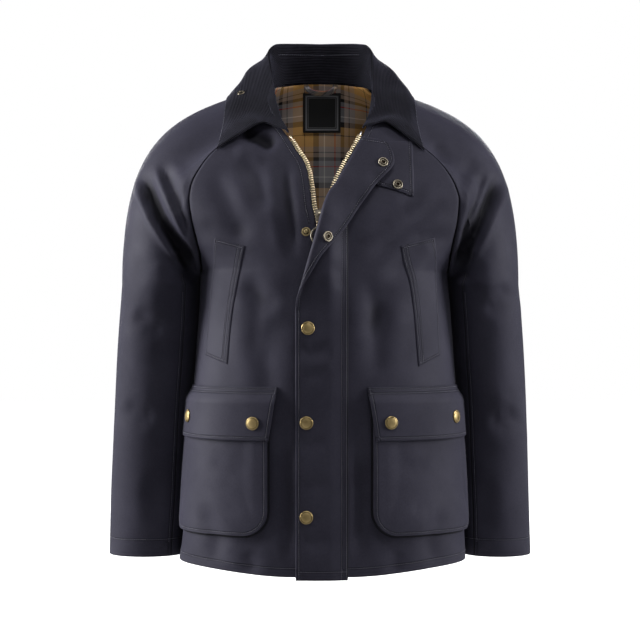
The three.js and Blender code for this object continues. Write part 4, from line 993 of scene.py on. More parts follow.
for side in SIDES:
    flat = front_grid(side, FRONT_ROWS, FRONT_SHARES)
    normals = outward(flat)
    across, from_hem = lengths(flat, 1), lengths(flat, 0)
    to_seam = to_last(across)
    outer = moved(flat, normals, -(front_sink(flat) + seam_dip(to_seam)))
    along_zip = np.where(flat[..., 2] > ZIP_STITCH_LOW_Z, across - ZIP_STITCH, MARK_REACH)
    # the seam and fold marks paint shade into the seams and the deep creases, and the stitch mark beside the
    # stitches
    piece = cloth_wall(f"front_{side}_cloth", outer, outer - normals * SHELL, shell_cloth,
                       stitch=nearest(from_hem - HEM_STITCH, along_zip), seam=to_seam,
                       fold=ramp(*FOLD_SHADE_DEPTHS, front_sink(flat)))
    finish_cloth(piece, flat, f"front_{side}")
    edge_line = row_line(outer, "left", ZIP_STITCH)
    keep = sample(outer, *edge_line)[:, 2] > ZIP_STITCH_LOW_Z + 5
    edge_line = tuple(part[keep] for part in edge_line)
    stitches(f"front_{side}_stitching", outer, outward(outer),
             [row_line(outer, "low", HEM_STITCH, 3, 3), edge_line])
print("fronts:", flat_sizes)

# %% [markdown]
# ## The back
# The back is one panel. Its upper rows bow up to the neckline. It shows in no single picture from the
# front, so its creases are like those of the fronts: long pulls from the armpits and soft folds above
# the hem.

# %% Back
BOW_START_Z = -20
BACK_ROWS = heights((HEM_Z, -640, 10), (-640, ARMPIT_Z, 84), (ARMPIT_Z, BACK_TOP_Z, 84))
BACK_HALF = 70


def back_grid(centre_z, margin, half_columns):
    """Rows of the back from seam to seam: z falls by the bow times (x / limit)^2 towards the seams."""
    bow = np.clip((centre_z - BOW_START_Z) / (BACK_TOP_Z - BOW_START_Z), 0, None)
    seam_z = centre_z - bow * (BACK_TOP_Z - BACK_SEAM_TOP_Z)
    halves = []
    for side in SIDES:
        limit_x, limit_y = limit(BACK_SEAM, side, seam_z)
        x, y, s = half_section(limit_x, limit_y, smooth(BACK_DEPTH, centre_z))
        wanted = (s[:, -1:] - margin) * np.linspace(0, 1, half_columns)
        px, py = read_rows(s, x, wanted), read_rows(s, y, wanted)
        pz = centre_z[:, None] + (seam_z - centre_z)[:, None] * (px / limit_x[:, None]) ** 2
        halves.append(np.stack([SIGN[side] * px, py, pz], -1))
    return np.concatenate([halves[0][:, :0:-1], halves[1]], axis=1)


flat = lift_hem(back_grid(BACK_ROWS, SEAM_GAP, BACK_HALF))
normals = outward(flat)
across = lengths(flat, 1)
to_seam = np.minimum(across, to_last(across))
behind_sink = sink(flat[..., 0], flat[..., 2], BACK_CREASES)
outer = moved(flat, normals, -(behind_sink + seam_dip(to_seam)))
# the seam and fold marks paint shade into the side seams and the deep creases
piece = cloth_wall("back_cloth", outer, outer - normals * SHELL, shell_cloth,
                   stitch=lengths(flat, 0) - HEM_STITCH, seam=to_seam, fold=ramp(*FOLD_SHADE_DEPTHS, behind_sink))
finish_cloth(piece, flat, "back")
stitches("back_stitching", outer, outward(outer), [row_line(outer, "low", HEM_STITCH, 3, 3)])
print("back:", flat_sizes["back_cloth"])

# %% [markdown]
# ## The sleeves
# A raglan sleeve starts at a long curved seam from the armpit to the neck. Each line of its cap leaves
# that seam in its own direction and bends down into the tube, as a cubic Bezier curve. The deep folds run
# from the shoulder into the armpit, where the hanging arm gathers the cloth.

# %% Sizes and creases of the sleeves
SLEEVE_TUBE = {
    "right": [[-262, 170.2, 281, 8, 75], [-320, 172.8, 286.5, 15, 70], [-369, 176.5, 290.5, 22, 65],
              [-426, 181.5, 294, 29, 60], [-500, 186, 298, 34, 54], [-560, 189.5, 301, 37, 50],
              [CUFF_Z, 195.5, 303.5, 40, 46.5]],
    "left": [[-262, 182.2, 282, 8, 75], [-320, 187, 288, 15, 70], [-369, 190.4, 292, 22, 65],
             [-426, 195, 295.5, 29, 60], [-500, 198.5, 298.5, 34, 54], [-560, 201.5, 300.5, 37, 50],
             [CUFF_Z, 204.5, 303.5, 40, 46.5]],
}
# Place round the seam, direction that the cloth leaves it in, reach at its start and end
CAP_FLOW = [
    [0.00, -0.30, 0.00, -0.95, 0.33, 0.33],
    [0.10, -0.60, 0.12, -0.79, 0.33, 0.36],
    [0.25, -0.76, 0.16, -0.63, 0.36, 0.42],
    [0.36, -0.88, 0.10, -0.46, 0.40, 0.50],
    [0.45, -0.96, -0.06, -0.26, 0.44, 0.55],
    [0.50, -0.97, 0.00, -0.23, 0.46, 0.56],
    [0.55, -0.85, 0.00, -0.55, 0.44, 0.58],
    [0.64, -0.84, -0.08, -0.54, 0.40, 0.52],
    [0.75, -0.76, -0.16, -0.63, 0.36, 0.42],
    [0.90, -0.60, -0.12, -0.79, 0.33, 0.36],
    [1.00, -0.30, 0.00, -0.95, 0.33, 0.33],
]
SLEEVE_CREASES = {
    ("right", "front"): [
        ([[-254, -98], [-244, -136], [-227, -170], [-203, -206], [-170, -252]], 16, 9, 0.24, 0.45),
        ([[-228, -90], [-209, -127], [-190, -168], [-178, -206]], 8, 7, 0.24, 0.4),
        ([[-196, -214], [-186, -240], [-176, -262]], 7, 14),
        ([[-242, -110], [-226, -150], [-204, -190]], 2, 5),
        ([[-262, -300], [-236, -322], [-212, -330]], 4, 14),
        ([[-280, -430], [-250, -448], [-226, -446]], 3.2, 14),
        ([[-226, -520], [-236, -560], [-228, -610]], 2.6, 12),
        ([[-262, -180], [-252, -230], [-254, -290]], 2.4, 16),
    ],
    ("left", "front"): [
        ([[254, -104], [243, -138], [224, -176], [188, -246]], 15, 10, 0.24, -0.35),
        ([[206, -212], [196, -240], [188, -262]], 7, 14),
        ([[232, -100], [218, -142], [204, -180], [192, -212]], 7, 8, 0.2, -0.4),
        ([[222, -86], [200, -110], [186, -150]], 3, 9),
        ([[268, -262], [244, -292], [222, -300]], 3.6, 13),
        ([[284, -440], [256, -456], [232, -452]], 4.0, 14),
        ([[238, -530], [232, -580], [240, -626]], 2.4, 12),
        ([[156, -62], [166, -84], [176, -100]], 3.0, 9),
    ],
    ("right", "back"): [
        ([[-240, -120], [-216, -170], [-194, -226]], 7, 14, 0.2),
        ([[-270, -350], [-240, -368], [-214, -362]], 4.5, 14),
        ([[-262, -470], [-236, -480], [-214, -470]], 3, 12),
    ],
    ("left", "back"): [
        ([[244, -116], [222, -168], [202, -228]], 6.5, 14, 0.2),
        ([[274, -330], [246, -352], [222, -350]], 4.5, 15),
        ([[264, -500], [244, -506], [224, -498]], 3, 12),
    ],
}
SLEEVE_COLUMNS = 132
CAP_ROWS = 64
CUFF_STITCH, UNDERARM_STITCH = 24, 5
TUBE_TOP_Z = -262
TUBE_ROWS = heights((TUBE_TOP_Z, -640, 104), (-640, CUFF_Z, 5))[1:]
UNDERARM_COLUMN = 17

print("creases of the sleeves:", sum(map(len, SLEEVE_CREASES.values())))

# %% Shape of a sleeve
def seam_loop(side, share):
    """The raglan seam: up the front, past the side of the neck and down the back."""
    up, down = np.linspace(ARMPIT_Z, -16, 17), np.linspace(BACK_SEAM_TOP_Z, ARMPIT_Z, 17)
    front, back = (np.stack([smooth(seam[side], z, 1), smooth(seam[side], z, 2), z], -1)
                   for seam, z in ((FRONT_SEAM, up), (BACK_SEAM, down)))
    points = np.concatenate([front, [NECK_SIDE[side]], back])
    points[:, 0] *= SIGN[side]
    return path(points, share)


def sleeve_rings(side, z, share):
    """Ellipses of the sleeve's tube: from the inner edge round the front."""
    inner, outer, middle, half = (smooth(SLEEVE_TUBE[side], z, c)[:, None] for c in (1, 2, 3, 4))
    angle = 2 * math.pi * share
    x = SIGN[side] * ((inner + outer) / 2 - (outer - inner) / 2 * np.cos(angle))
    y = middle - half * np.sin(angle)
    return np.stack([x, y, np.broadcast_to(z[:, None], x.shape)], -1)


def sleeve_grid(side):
    """Cap and tube of a sleeve, rows from the seam down to the cuff."""
    share = np.arange(SLEEVE_COLUMNS) / SLEEVE_COLUMNS
    start = seam_loop(side, share)
    ring = sleeve_rings(side, np.array([float(TUBE_TOP_Z)]), share)[0]
    far = np.linalg.norm(ring - start, axis=1)[:, None]
    flow = [smooth(CAP_FLOW, share, c)[:, None] for c in range(1, 6)]
    leave = unit(np.concatenate([-SIGN[side] * flow[0], flow[1], flow[2]], axis=1))
    second = start + leave * far * flow[3]
    third = ring + np.array([0, 0, 1]) * far * flow[4]
    t = np.linspace(0.004, 1, CAP_ROWS + 1)[:, None, None]
    cap = (1 - t) ** 3 * start + 3 * t * (1 - t) ** 2 * second + 3 * t * t * (1 - t) * third + t ** 3 * ring
    return np.concatenate([cap, sleeve_rings(side, TUBE_ROWS, share)])


print("rows and columns of a sleeve:", sleeve_grid("left").shape[:2])

# %% Both sleeves
for side in SIDES:
    flat = sleeve_grid(side)
    arm = (SIGN[side] * 235, 15)
    normals = outward(flat, True, arm)
    x, z = flat[..., 0], flat[..., 2]
    ahead = ramp(-0.15, 0.35, -normals[..., 1]) * sink(x, z, SLEEVE_CREASES[side, "front"])
    behind = ramp(0, 0.4, normals[..., 1]) * sink(x, z, SLEEVE_CREASES[side, "back"])
    along = lengths(flat, 0)
    outer = moved(flat, normals, -((ahead + behind) * ramp(2, 26, along) + seam_dip(along, 1.2)))
    across = lengths(flat, 1, True)
    underarm = across[:, :-1] - across[:, UNDERARM_COLUMN:UNDERARM_COLUMN + 1]
    tube = flat[..., 2] < ARMPIT_Z
    cuff = along[-1:] - along - CUFF_STITCH
    # the seam and fold marks paint shade into the seams and the deep creases
    piece = cloth_wall(f"sleeve_{side}_cloth", outer, outer - normals * SHELL, shell_cloth, True,
                       stitch=nearest(cuff, np.where(tube, underarm - UNDERARM_STITCH, MARK_REACH)),
                       seam=nearest(along, np.where(tube, underarm, MARK_REACH)),
                       fold=ramp(3, 11, ahead + behind))
    finish_cloth(piece, flat, f"sleeve_{side}", wrap=True)
    skin = outward(outer, True, arm)
    closed, closed_skin = (np.concatenate([grid, grid[:, :1]], axis=1) for grid in (outer, skin))
    cuff_row = row_line(closed, "high", CUFF_STITCH)
    rows = np.arange(CAP_ROWS + 3, len(outer) - 8)
    columns = np.tile(np.arange(SLEEVE_COLUMNS + 1.0), (len(rows), 1))
    wanted = across[rows, UNDERARM_COLUMN:UNDERARM_COLUMN + 1] + UNDERARM_STITCH
    beside = read_rows(across[rows], columns, wanted)[:, 0]
    stitches(f"sleeve_{side}_stitching", closed, closed_skin, [cuff_row, (rows.astype(float), beside)])
print("sleeves:", flat_sizes["sleeve_right_cloth"], flat_sizes["sleeve_left_cloth"])

# %% [markdown]
# ## The collar
# The collar is one cloth that stands up round the neck, rolls over and falls. Four guide lines, from the
# centre back to the front end, carry it: the neck seam, the roll, the middle of the fall and the edge.
# Cutting a stand and a fall apart would be truer to some makers' patterns, but no seam shows there.

# %% Guide lines of the collar
COLLAR = {
    "right": {
        "base": [[0, 77, 40], [36, 71, 39], [57, 55, 34], [71, 30, 24], [75, 8, 13], [72, -17, -5],
                 [64, -37, -26], [44, -63, -52.5]],
        "roll": [[0, 76, 93], [36, 75, 93], [63, 65, 91], [74, 51, 77], [70, 34, 50], [64.5, 8, 20],
                 [60, -20, -7], [53, -44, -32], [44.5, -67, -50]],
        "mid": [[0, 95, 60], [44, 92, 60], [84, 76, 64], [106, 54, 48], [108, 28, 24], [106, 2, 5],
                [100, -24, -22], [89, -44, -33], [76, -51, -38]],
        "edge": [[0, 105, 20], [44, 101, 19], [80, 86, 12], [110, 62, 3], [129, 33, 9.5], [134, 6, -2],
                 [136, -24, -36], [139, -53, -60], [142, -67, -75]],
    },
    "left": {
        "base": [[0, 77, 40], [36, 71, 39], [58, 55, 34], [73, 30, 24], [78, 8, 13], [77, -17, -5],
                 [70, -36, -24], [59.5, -58, -45.5]],
        "roll": [[0, 76, 93], [36, 75, 93], [63, 65, 91], [74, 51, 77], [74, 34, 50], [73.5, 8, 20],
                 [71, -20, -8], [67, -40, -30], [60.5, -61, -43.5]],
        "mid": [[0, 95, 60], [44, 92, 60], [84, 76, 64], [106, 54, 48], [110, 28, 24], [109, 2, 5],
                [105, -24, -22], [97, -43, -32], [87, -48, -36]],
        "edge": [[0, 105, 20], [44, 101, 19], [80, 86, 12], [110, 62, 3], [129, 33, 9.5], [135, 6, -2],
                 [137, -24, -36], [140, -53, -60], [144, -68, -77]],
    },
}
COLLAR_BULGE = 4
ROLL_RADIUS = 4.5
STAND_STITCH, COLLAR_EDGE_STITCH = 16, 1.3
BASE_OVERLAP = 5.5      # the stand laps over the top of the lining

print("stand at the centre back, mm:", COLLAR["left"]["roll"][0][2] - COLLAR["left"]["base"][0][2])

# %% Shape of the collar
def curve_rows(points, share):
    """Smooth curve through each row of points at shares of its length: cubic pieces, whose slope at a
    point is that of the parabola through it and its two neighbours."""
    def pick(values, number):
        return np.take_along_axis(values, number, 1)

    leap = np.diff(points, axis=1)
    step = np.linalg.norm(leap, axis=2)
    knots = np.concatenate([np.zeros((len(points), 1)), np.cumsum(step, axis=1)], axis=1)
    slope = leap / step[..., None]
    before, after = step[:, :-1, None], step[:, 1:, None]
    middle = (after * slope[:, :-1] + before * slope[:, 1:]) / (before + after)
    tangent = np.concatenate([slope[:, :1], middle, slope[:, -1:]], axis=1)
    wanted = knots[:, -1:] * share
    k = np.sum(wanted[:, :, None] > knots[:, None, 1:-1], axis=2)
    width = pick(step, k)[..., None]
    t = (wanted - pick(knots, k))[..., None] / width
    rise = t * t * (3 - 2 * t)
    first, second = k[..., None], k[..., None] + 1
    bend = t * (1 - t) ** 2 * pick(tangent, first) - t * t * (1 - t) * pick(tangent, second)
    return (1 - rise) * pick(points, first) + rise * pick(points, second) + width * bend


def collar_rows(side, share):
    """Nine points across the collar at each share of its half: neck seam, stand, roll, fall, edge."""
    base, roll, mid, edge = (path(COLLAR[side][name], share) for name in ("base", "roll", "mid", "edge"))
    stand = np.linalg.norm(roll - base, axis=1)
    up, out = unit(roll - base), unit(mid - roll)
    radius = np.maximum(1.9, ROLL_RADIUS * ramp(0, 30, stand))[:, None]
    base = base - up * (BASE_OVERLAP * ramp(12, 40, stand))[:, None]
    inside, outside = roll - up * radius, roll + out * radius
    crown = roll + out * radius * 0.3 - up * radius * 0.1
    away = unit(np.stack([mid[:, 0], mid[:, 1] - 10, np.full(len(mid), 25.0)], -1))
    lower = (mid + edge) / 2 + away * COLLAR_BULGE
    points = np.stack([base, (base + inside) / 2, inside, crown, outside, (outside + mid) / 2, mid,
                       lower, edge], axis=1)
    points[..., 0] *= SIGN[side]
    return points


print("points across the collar:", collar_rows("left", np.array([0, 1])).shape[1])

# %% The collar
COLLAR_HALF_ROWS, COLLAR_COLUMNS = 66, 100
half = np.linspace(0, 1, COLLAR_HALF_ROWS)
collar_guides = np.concatenate([collar_rows("right", half[:0:-1]), collar_rows("left", half)])
flat = curve_rows(collar_guides, np.linspace(0, 1, COLLAR_COLUMNS)[None])
normals = outward(flat)
across = lengths(flat, 1)
to_crown = np.sum(np.linalg.norm(np.diff(collar_guides[:, :4], axis=1), axis=2), axis=1)
from_crown = across - to_crown[:, None]
waves = np.sin(lengths(flat, 0) / 31) * 0.5 + np.sin(lengths(flat, 0) / 17 + 1.3) * 0.3
puff = waves * ramp(14, 40, from_crown) * ramp(0, 12, to_last(across))
top, under = two_faces(moved(flat, normals, puff), normals, COLLAR_CLOTH)
tall_stand = (to_crown > 36) & (np.abs(collar_guides[:, 3, 0]) < 66)
stand_mark = np.where(tall_stand[:, None], from_crown + STAND_STITCH, MARK_REACH)
piece = cloth_wall("collar_cloth", top, under, corduroy, stitch=stand_mark, wale_mm=from_crown)
finish_cloth(piece, flat, "collar")
rows = np.flatnonzero(tall_stand).astype(float)
columns = np.tile(np.arange(top.shape[1], dtype=float), (len(top), 1))
at_stitch = read_rows(across, columns, (to_crown - STAND_STITCH)[:, None])[:, 0]
stitches("collar_stitching", top, normals,
         [(rows, at_stitch[rows.astype(int)]), row_line(top, "right", COLLAR_EDGE_STITCH, 2, 2)])
print("collar:", flat_sizes["collar_cloth"])

# %% [markdown]
# ## The storm flap
# The flap is a long strip sewn beside the zip. It covers the zip below the chest, and above it is turned
# back over a fold line, so its inside shows. Each row of the flap is laid out flat, then mirrored over
# the fold line and lifted round a bend.

# %% Sizes of the storm flap
EDGE_STITCH = 4
FLAP_SEAM_STITCHES, FLAP_TOP_STITCH = (1.5, 8), 5
FLAP_WIDTH = 69
FLAP_SEAM = [[-660, 37], [-190, 37], [-169, 36], [-151, 38], [-130, 43], [-108, 52], [-86, 63], [-65, 73]]
FLAP_FOLD = [[-300, -30], [-264, -19.5], [-213, -5.4], [-149, 13.6], [-128.5, 27.3], [-96, 45.5],
             [-64, 62.3]]
FLAP_FREE = [[-272, -20], [-253, -10.8], [-215, 13.5], [-184, 36.6], [-162, 51.5], [-131, 74.5], [-99, 100],
             [-92, 99.5], [-72, 90], [-66, 70]]
FLAP_TOP_Z, FLAP_HEM_Z = -72, -661
FLAP_BEND, FLAP_RISE, FLAP_REST, FLAP_SETTLE = 4.2, 26, 5, 45
FLAP_LIFT = [[-660, 3.4], [-330, 3.4], [-290, 6], [-250, 13], [-210, 14.5], [-172, 13], [-152, 9],
             [-128, 5], [-70, 3.4]]
FLAP_CREASES = [
    ([[-34, -340], [-12, -356], [18, -348]], 2.4, 9),
    ([[-30, -392], [-8, -384], [12, -392]], 1.2, 8),
    ([[-32, -470], [-12, -480], [10, -474]], 1.6, 9),
    ([[-32, -540], [-6, -532], [20, -540]], 1.3, 10),
    ([[-30, -600], [-10, -612], [16, -604]], 1.7, 9),
    ([[40, -150], [62, -170], [66, -200]], 1.6, 9),
    ([[66, -110], [78, -128], [80, -146]], 1.3, 8),
    ([[10, -235], [24, -250], [28, -275]], 1.5, 8),
]

print("creases of the flap:", len(FLAP_CREASES))

# %% Shape of the storm flap
def flap_grid(z, share):
    """Points of the flap's middle, rows by height and columns from the sewn edge to the free edge."""
    far = FLAP_WIDTH * share

    def direction(line, place, span=4):
        slope = smooth(line, place + span) - smooth(line, place - span)
        return unit(np.stack([slope, np.zeros_like(slope), np.full_like(slope, 2.0 * span)], -1))

    sewn = np.stack([smooth(FLAP_SEAM, z), np.zeros_like(z), z], -1)
    rise = direction(FLAP_SEAM, z)
    across = np.stack([-rise[:, 2], np.zeros_like(z), rise[:, 0]], -1)
    tries = np.arange(0.1, FLAP_WIDTH, 0.1)
    tried = sewn[:, None] + tries[:, None] * across[:, None]
    past_fold = (tried[..., 2] > FLAP_FOLD[0][0]) & (smooth(FLAP_FOLD, tried[..., 2]) > tried[..., 0])
    cross = np.where(past_fold.any(1), tries[past_fold.argmax(1)], FLAP_WIDTH + 1)[:, None]
    crease_z = (sewn + across * np.minimum(cross, FLAP_WIDTH))[:, 2]
    line = direction(FLAP_FOLD, crease_z, 26)
    back = line * 2 * dot(across, line) - across
    lift = smooth(FLAP_LIFT, crease_z)[:, None]
    turn = np.clip((far - cross) / FLAP_BEND, 0, math.pi)
    turned_width = FLAP_WIDTH - cross - math.pi * FLAP_BEND
    fold_point = sewn + across * np.minimum(cross, FLAP_WIDTH)
    reach = fold_point[:, None] + tries[:, None] * back[:, None]
    outside = reach[..., 0] > smooth(FLAP_FREE, reach[..., 2])
    room = tries[outside.argmax(1)][:, None] / np.maximum(turned_width, 8)
    stretch = np.where(outside.any(1)[:, None], np.clip(room, 0.5, 1.6), 1)
    stretch = 1 + (stretch - 1) * ramp(8, 20, turned_width)
    past = np.maximum(0, far - cross - math.pi * FLAP_BEND) * stretch
    flat = (sewn[:, None] + across[:, None] * (np.minimum(far, cross) + FLAP_BEND * np.sin(turn))[..., None]
            + back[:, None] * past[..., None])
    raised = LAY + (lift - LAY) * ramp(0, np.minimum(cross, FLAP_RISE), np.minimum(far, cross))
    settle = (raised + FLAP_BEND - FLAP_REST) * ramp(0, FLAP_SETTLE, past)
    height = raised + FLAP_BEND * (1 - np.cos(turn)) - settle + POCKET_CLOTH / 2
    return flat[..., 0], flat[..., 2], height, past


print("flap turned back by, mm:", flap_grid(np.array([-160.0]), np.array([1.0]))[3].round(1)[0, 0])

# %% The storm flap
z = heights((FLAP_HEM_Z, -300, 90), (-300, FLAP_TOP_Z, 110))
x, tall, height, past = flap_grid(z, np.linspace(0, 1, 72))
flat = chest_point(x, tall, height)
normals = grid_normals(flat)
face = normals if normals[4, 36, 1] < 0 else -normals
own_sink = sink(x, tall, FLAP_CREASES) * ramp(4, 12, past + 12 * (past <= 0))
middle = moved(flat, chest_normal(x, tall), -(front_sink(np.stack([x, height, tall], -1)) + own_sink))
across, ends = lengths(flat, 1), lengths(flat, 0)
free = to_last(across)
marks = nearest(*(across - inset for inset in FLAP_SEAM_STITCHES), free - EDGE_STITCH, ends - HEM_STITCH,
                ends[-1:] - ends - FLAP_TOP_STITCH)
top, under = two_faces(middle, face, POCKET_CLOTH)
# the seam mark paints a line of shade along the flap's sewn edge
piece = cloth_wall("storm_flap_cloth", top, under, shell_cloth, stitch=marks, seam=across + 0.2)
finish_cloth(piece, flat, "storm_flap")
rows = (*(("left", inset) for inset in FLAP_SEAM_STITCHES), ("right", EDGE_STITCH),
        ("low", HEM_STITCH, 2, 4), ("high", FLAP_TOP_STITCH, 2, 4))
stitches("storm_flap_stitching", top, face, [row_line(top, *row) for row in rows])
rows = (("right", EDGE_STITCH), ("high", FLAP_TOP_STITCH, 2, 4), ("left", FLAP_SEAM_STITCHES[1]))
stitches("storm_flap_inner_stitching", under, -face, [row_line(under, *row) for row in rows])
print("storm flap:", flat_sizes["storm_flap_cloth"])

# %% [markdown]
# ## The throat tab
# A small tab lies on the chest under the turned flap, with one open snap socket.

# %% Throat tab
# Corners as (distance, height): inner and outer at the top, inner and outer at the bottom
TAB = [[[80, -66], [127, -66]], [[76, -128], [127.5, -143]]]
down, over = np.linspace(0, 1, 34)[:, None], np.linspace(0, 1, 26)[None]
top_row, low_row = ([between(inner[c], outer[c], over) for c in (0, 1)] for inner, outer in TAB)
tab_x, tab_z = (between(top_row[c], low_row[c], down) for c in (0, 1))
flat = chest_point(tab_x, tab_z, LAY + POCKET_CLOTH / 2)
normals = outward(flat)
across, along = lengths(flat, 1), lengths(flat, 0)
marks = nearest(across - EDGE_STITCH, to_last(across) - EDGE_STITCH, along[-1:] - along - EDGE_STITCH)
top, under = two_faces(moved(flat, normals, -front_sink(flat)), normals, POCKET_CLOTH)
piece = cloth_wall("throat_tab_cloth", top, under, shell_cloth, stitch=marks)
finish_cloth(piece, flat, "throat_tab")
rows = (("right", 2), ("high", 4), ("left", 2))
stitches("throat_tab_stitching", top, normals,
         [row_line(top, edge, EDGE_STITCH, start, 4) for edge, start in rows])
print("throat tab:", flat_sizes["throat_tab_cloth"])

# %% [markdown]
# ## Bellows pockets
# Each patch pocket stands on a folded strip, the gusset, that lets it open out. The pockets are empty, so
# the strip lies folded and shows only as an edge with a thin fold beyond the pocket's edge, and the whole
# strip is painted dark as shade. The flap hangs over the opening and lifts a little between its two snaps.

# %% Sizes of the pockets
POCKET_START = {"right": 70.5, "left": 71.5}
POCKET_FLAP_START = {"right": [59, 70], "left": [65.5, 76.5]}
POCKET_TOP_Z, POCKET_BOTTOM_Z, POCKET_CORNER, POCKET_SIDE_MARGIN = -431, -603, 34, 9
POCKET_FLAP_TOP_Z, POCKET_FLAP_BOTTOM_Z = -403, -474
POCKET_COLUMNS, SEAM_CLEAR = 90, 0.95
POCKET_TOP_STITCH, POCKET_FLAP_STITCHES = 22, (2, 8)
POCKET_FLAP_PAST = (2, 4)       # how far the flap goes past its start and past the pocket's outer edge
POCKET_FLAP_BULGE = 1.5
GUSSET_THICK, GUSSET_INSET, GUSSET_CLOTH = 3.6, 0.6, 0.6
POCKET_LIFT = GUSSET_THICK + 5.4 * LAY
POCKET_SINK = 2
FLAP_OVER_POCKET = GUSSET_THICK + POCKET_CLOTH + 8.2 * LAY
# Section of the folded strip: distance in from the pocket's edge, height above the front
BELLOWS = [[7, 0.7], [2, 0.7], [-2.6, 0.8], [-3.5, 1.35], [-2.6, 1.9], [1.5, 2.1], [4.6, 2.5], [5.1, 2.95],
           [4.4, 3.4], [1.6, 3.7], [-0.2, 3.9], [-0.9, 4.5], [0.2, 5.1], [3, 5.2]]
POCKET_CREASES = {
    "right": [([[-150, -500], [-120, -520], [-96, -512]], 0.9, 12), ([[-110, -560], [-130, -580]], 0.8, 12)],
    "left": [([[98, -500], [126, -516], [150, -506]], 0.9, 12), ([[120, -566], [150, -574]], 0.8, 12)],
}

print("pocket, mm tall:", POCKET_TOP_Z - POCKET_BOTTOM_Z)

# %% Lines and pieces on the front
def pocket_outer(side, z):
    """Length round the front at the pocket's outer edge."""
    return front_curve(side, z)[2][:, -1] - SEAM_CLEAR - POCKET_SIDE_MARGIN


def corner_inset(z):
    """How far the edge draws in at a rounded lower corner: r - sqrt(r^2 - d^2)."""
    below = np.clip(POCKET_BOTTOM_Z + POCKET_CORNER - z, 0, POCKET_CORNER)
    return POCKET_CORNER - np.sqrt(POCKET_CORNER ** 2 - below ** 2)


def pocket_line(side, inset, top_z, leg_steps, turn, low_steps):
    """Heights and lengths of a line at an inset from the pocket's edge: down one side, round the lower
    corners as quarter circles, and up the other side."""
    low, radius = POCKET_BOTTOM_Z + POCKET_CORNER, POCKET_CORNER - inset
    z = np.concatenate([np.linspace(top_z, low, leg_steps), low - radius * np.sin(turn)])
    inward = np.concatenate([np.full(leg_steps, inset), POCKET_CORNER - radius * np.cos(turn)])
    begin = POCKET_START[side] + inward
    end = pocket_outer(side, z[::-1]) - inward[::-1]
    middle = np.linspace(begin[-1], end[0], low_steps + 2)[1:-1]
    line_z = np.concatenate([z, np.full(low_steps, POCKET_BOTTOM_Z + inset), z[::-1]])
    return line_z, np.concatenate([begin, middle, end])


def front_frame(side, z, s):
    """Point and outward direction on the front for any heights and lengths of the same shape."""
    flat_z, flat_s = z.ravel(), s.ravel()[:, None]
    here = on_front(side, flat_z, flat_s)[:, 0]
    beside = on_front(side, flat_z, flat_s + 0.5)[:, 0]
    above = on_front(side, flat_z + 0.5, flat_s)[:, 0]
    normal = unit(np.cross(beside - here, above - here))
    normal = np.where(dot(normal, here * [1, 1, 0]) > 0, normal, -normal)
    return here.reshape(*z.shape, 3), normal.reshape(*z.shape, 3)


def laid_piece(name, node, side, z, first, last, columns, lift, marks):
    """A piece on the front between two lengths by height, lifted by a function of height and share."""
    share = np.linspace(0, 1, columns)[None]
    flat = on_front(side, z, between(first[:, None], last[:, None], share))
    normals = outward(flat)
    high = lift(z[:, None], share) - front_sink(flat) - sink(flat[..., 0], flat[..., 2], POCKET_CREASES[side])
    top = moved(flat, normals, high + POCKET_CLOTH)
    piece = cloth_wall(name, top, moved(flat, normals, high), shell_cloth, stitch=marks(flat))
    finish_cloth(piece, flat, node)
    return top, normals


print("pocket's outer edge round the front, mm:", pocket_outer("left", np.array([-500.0])).round(1)[0])

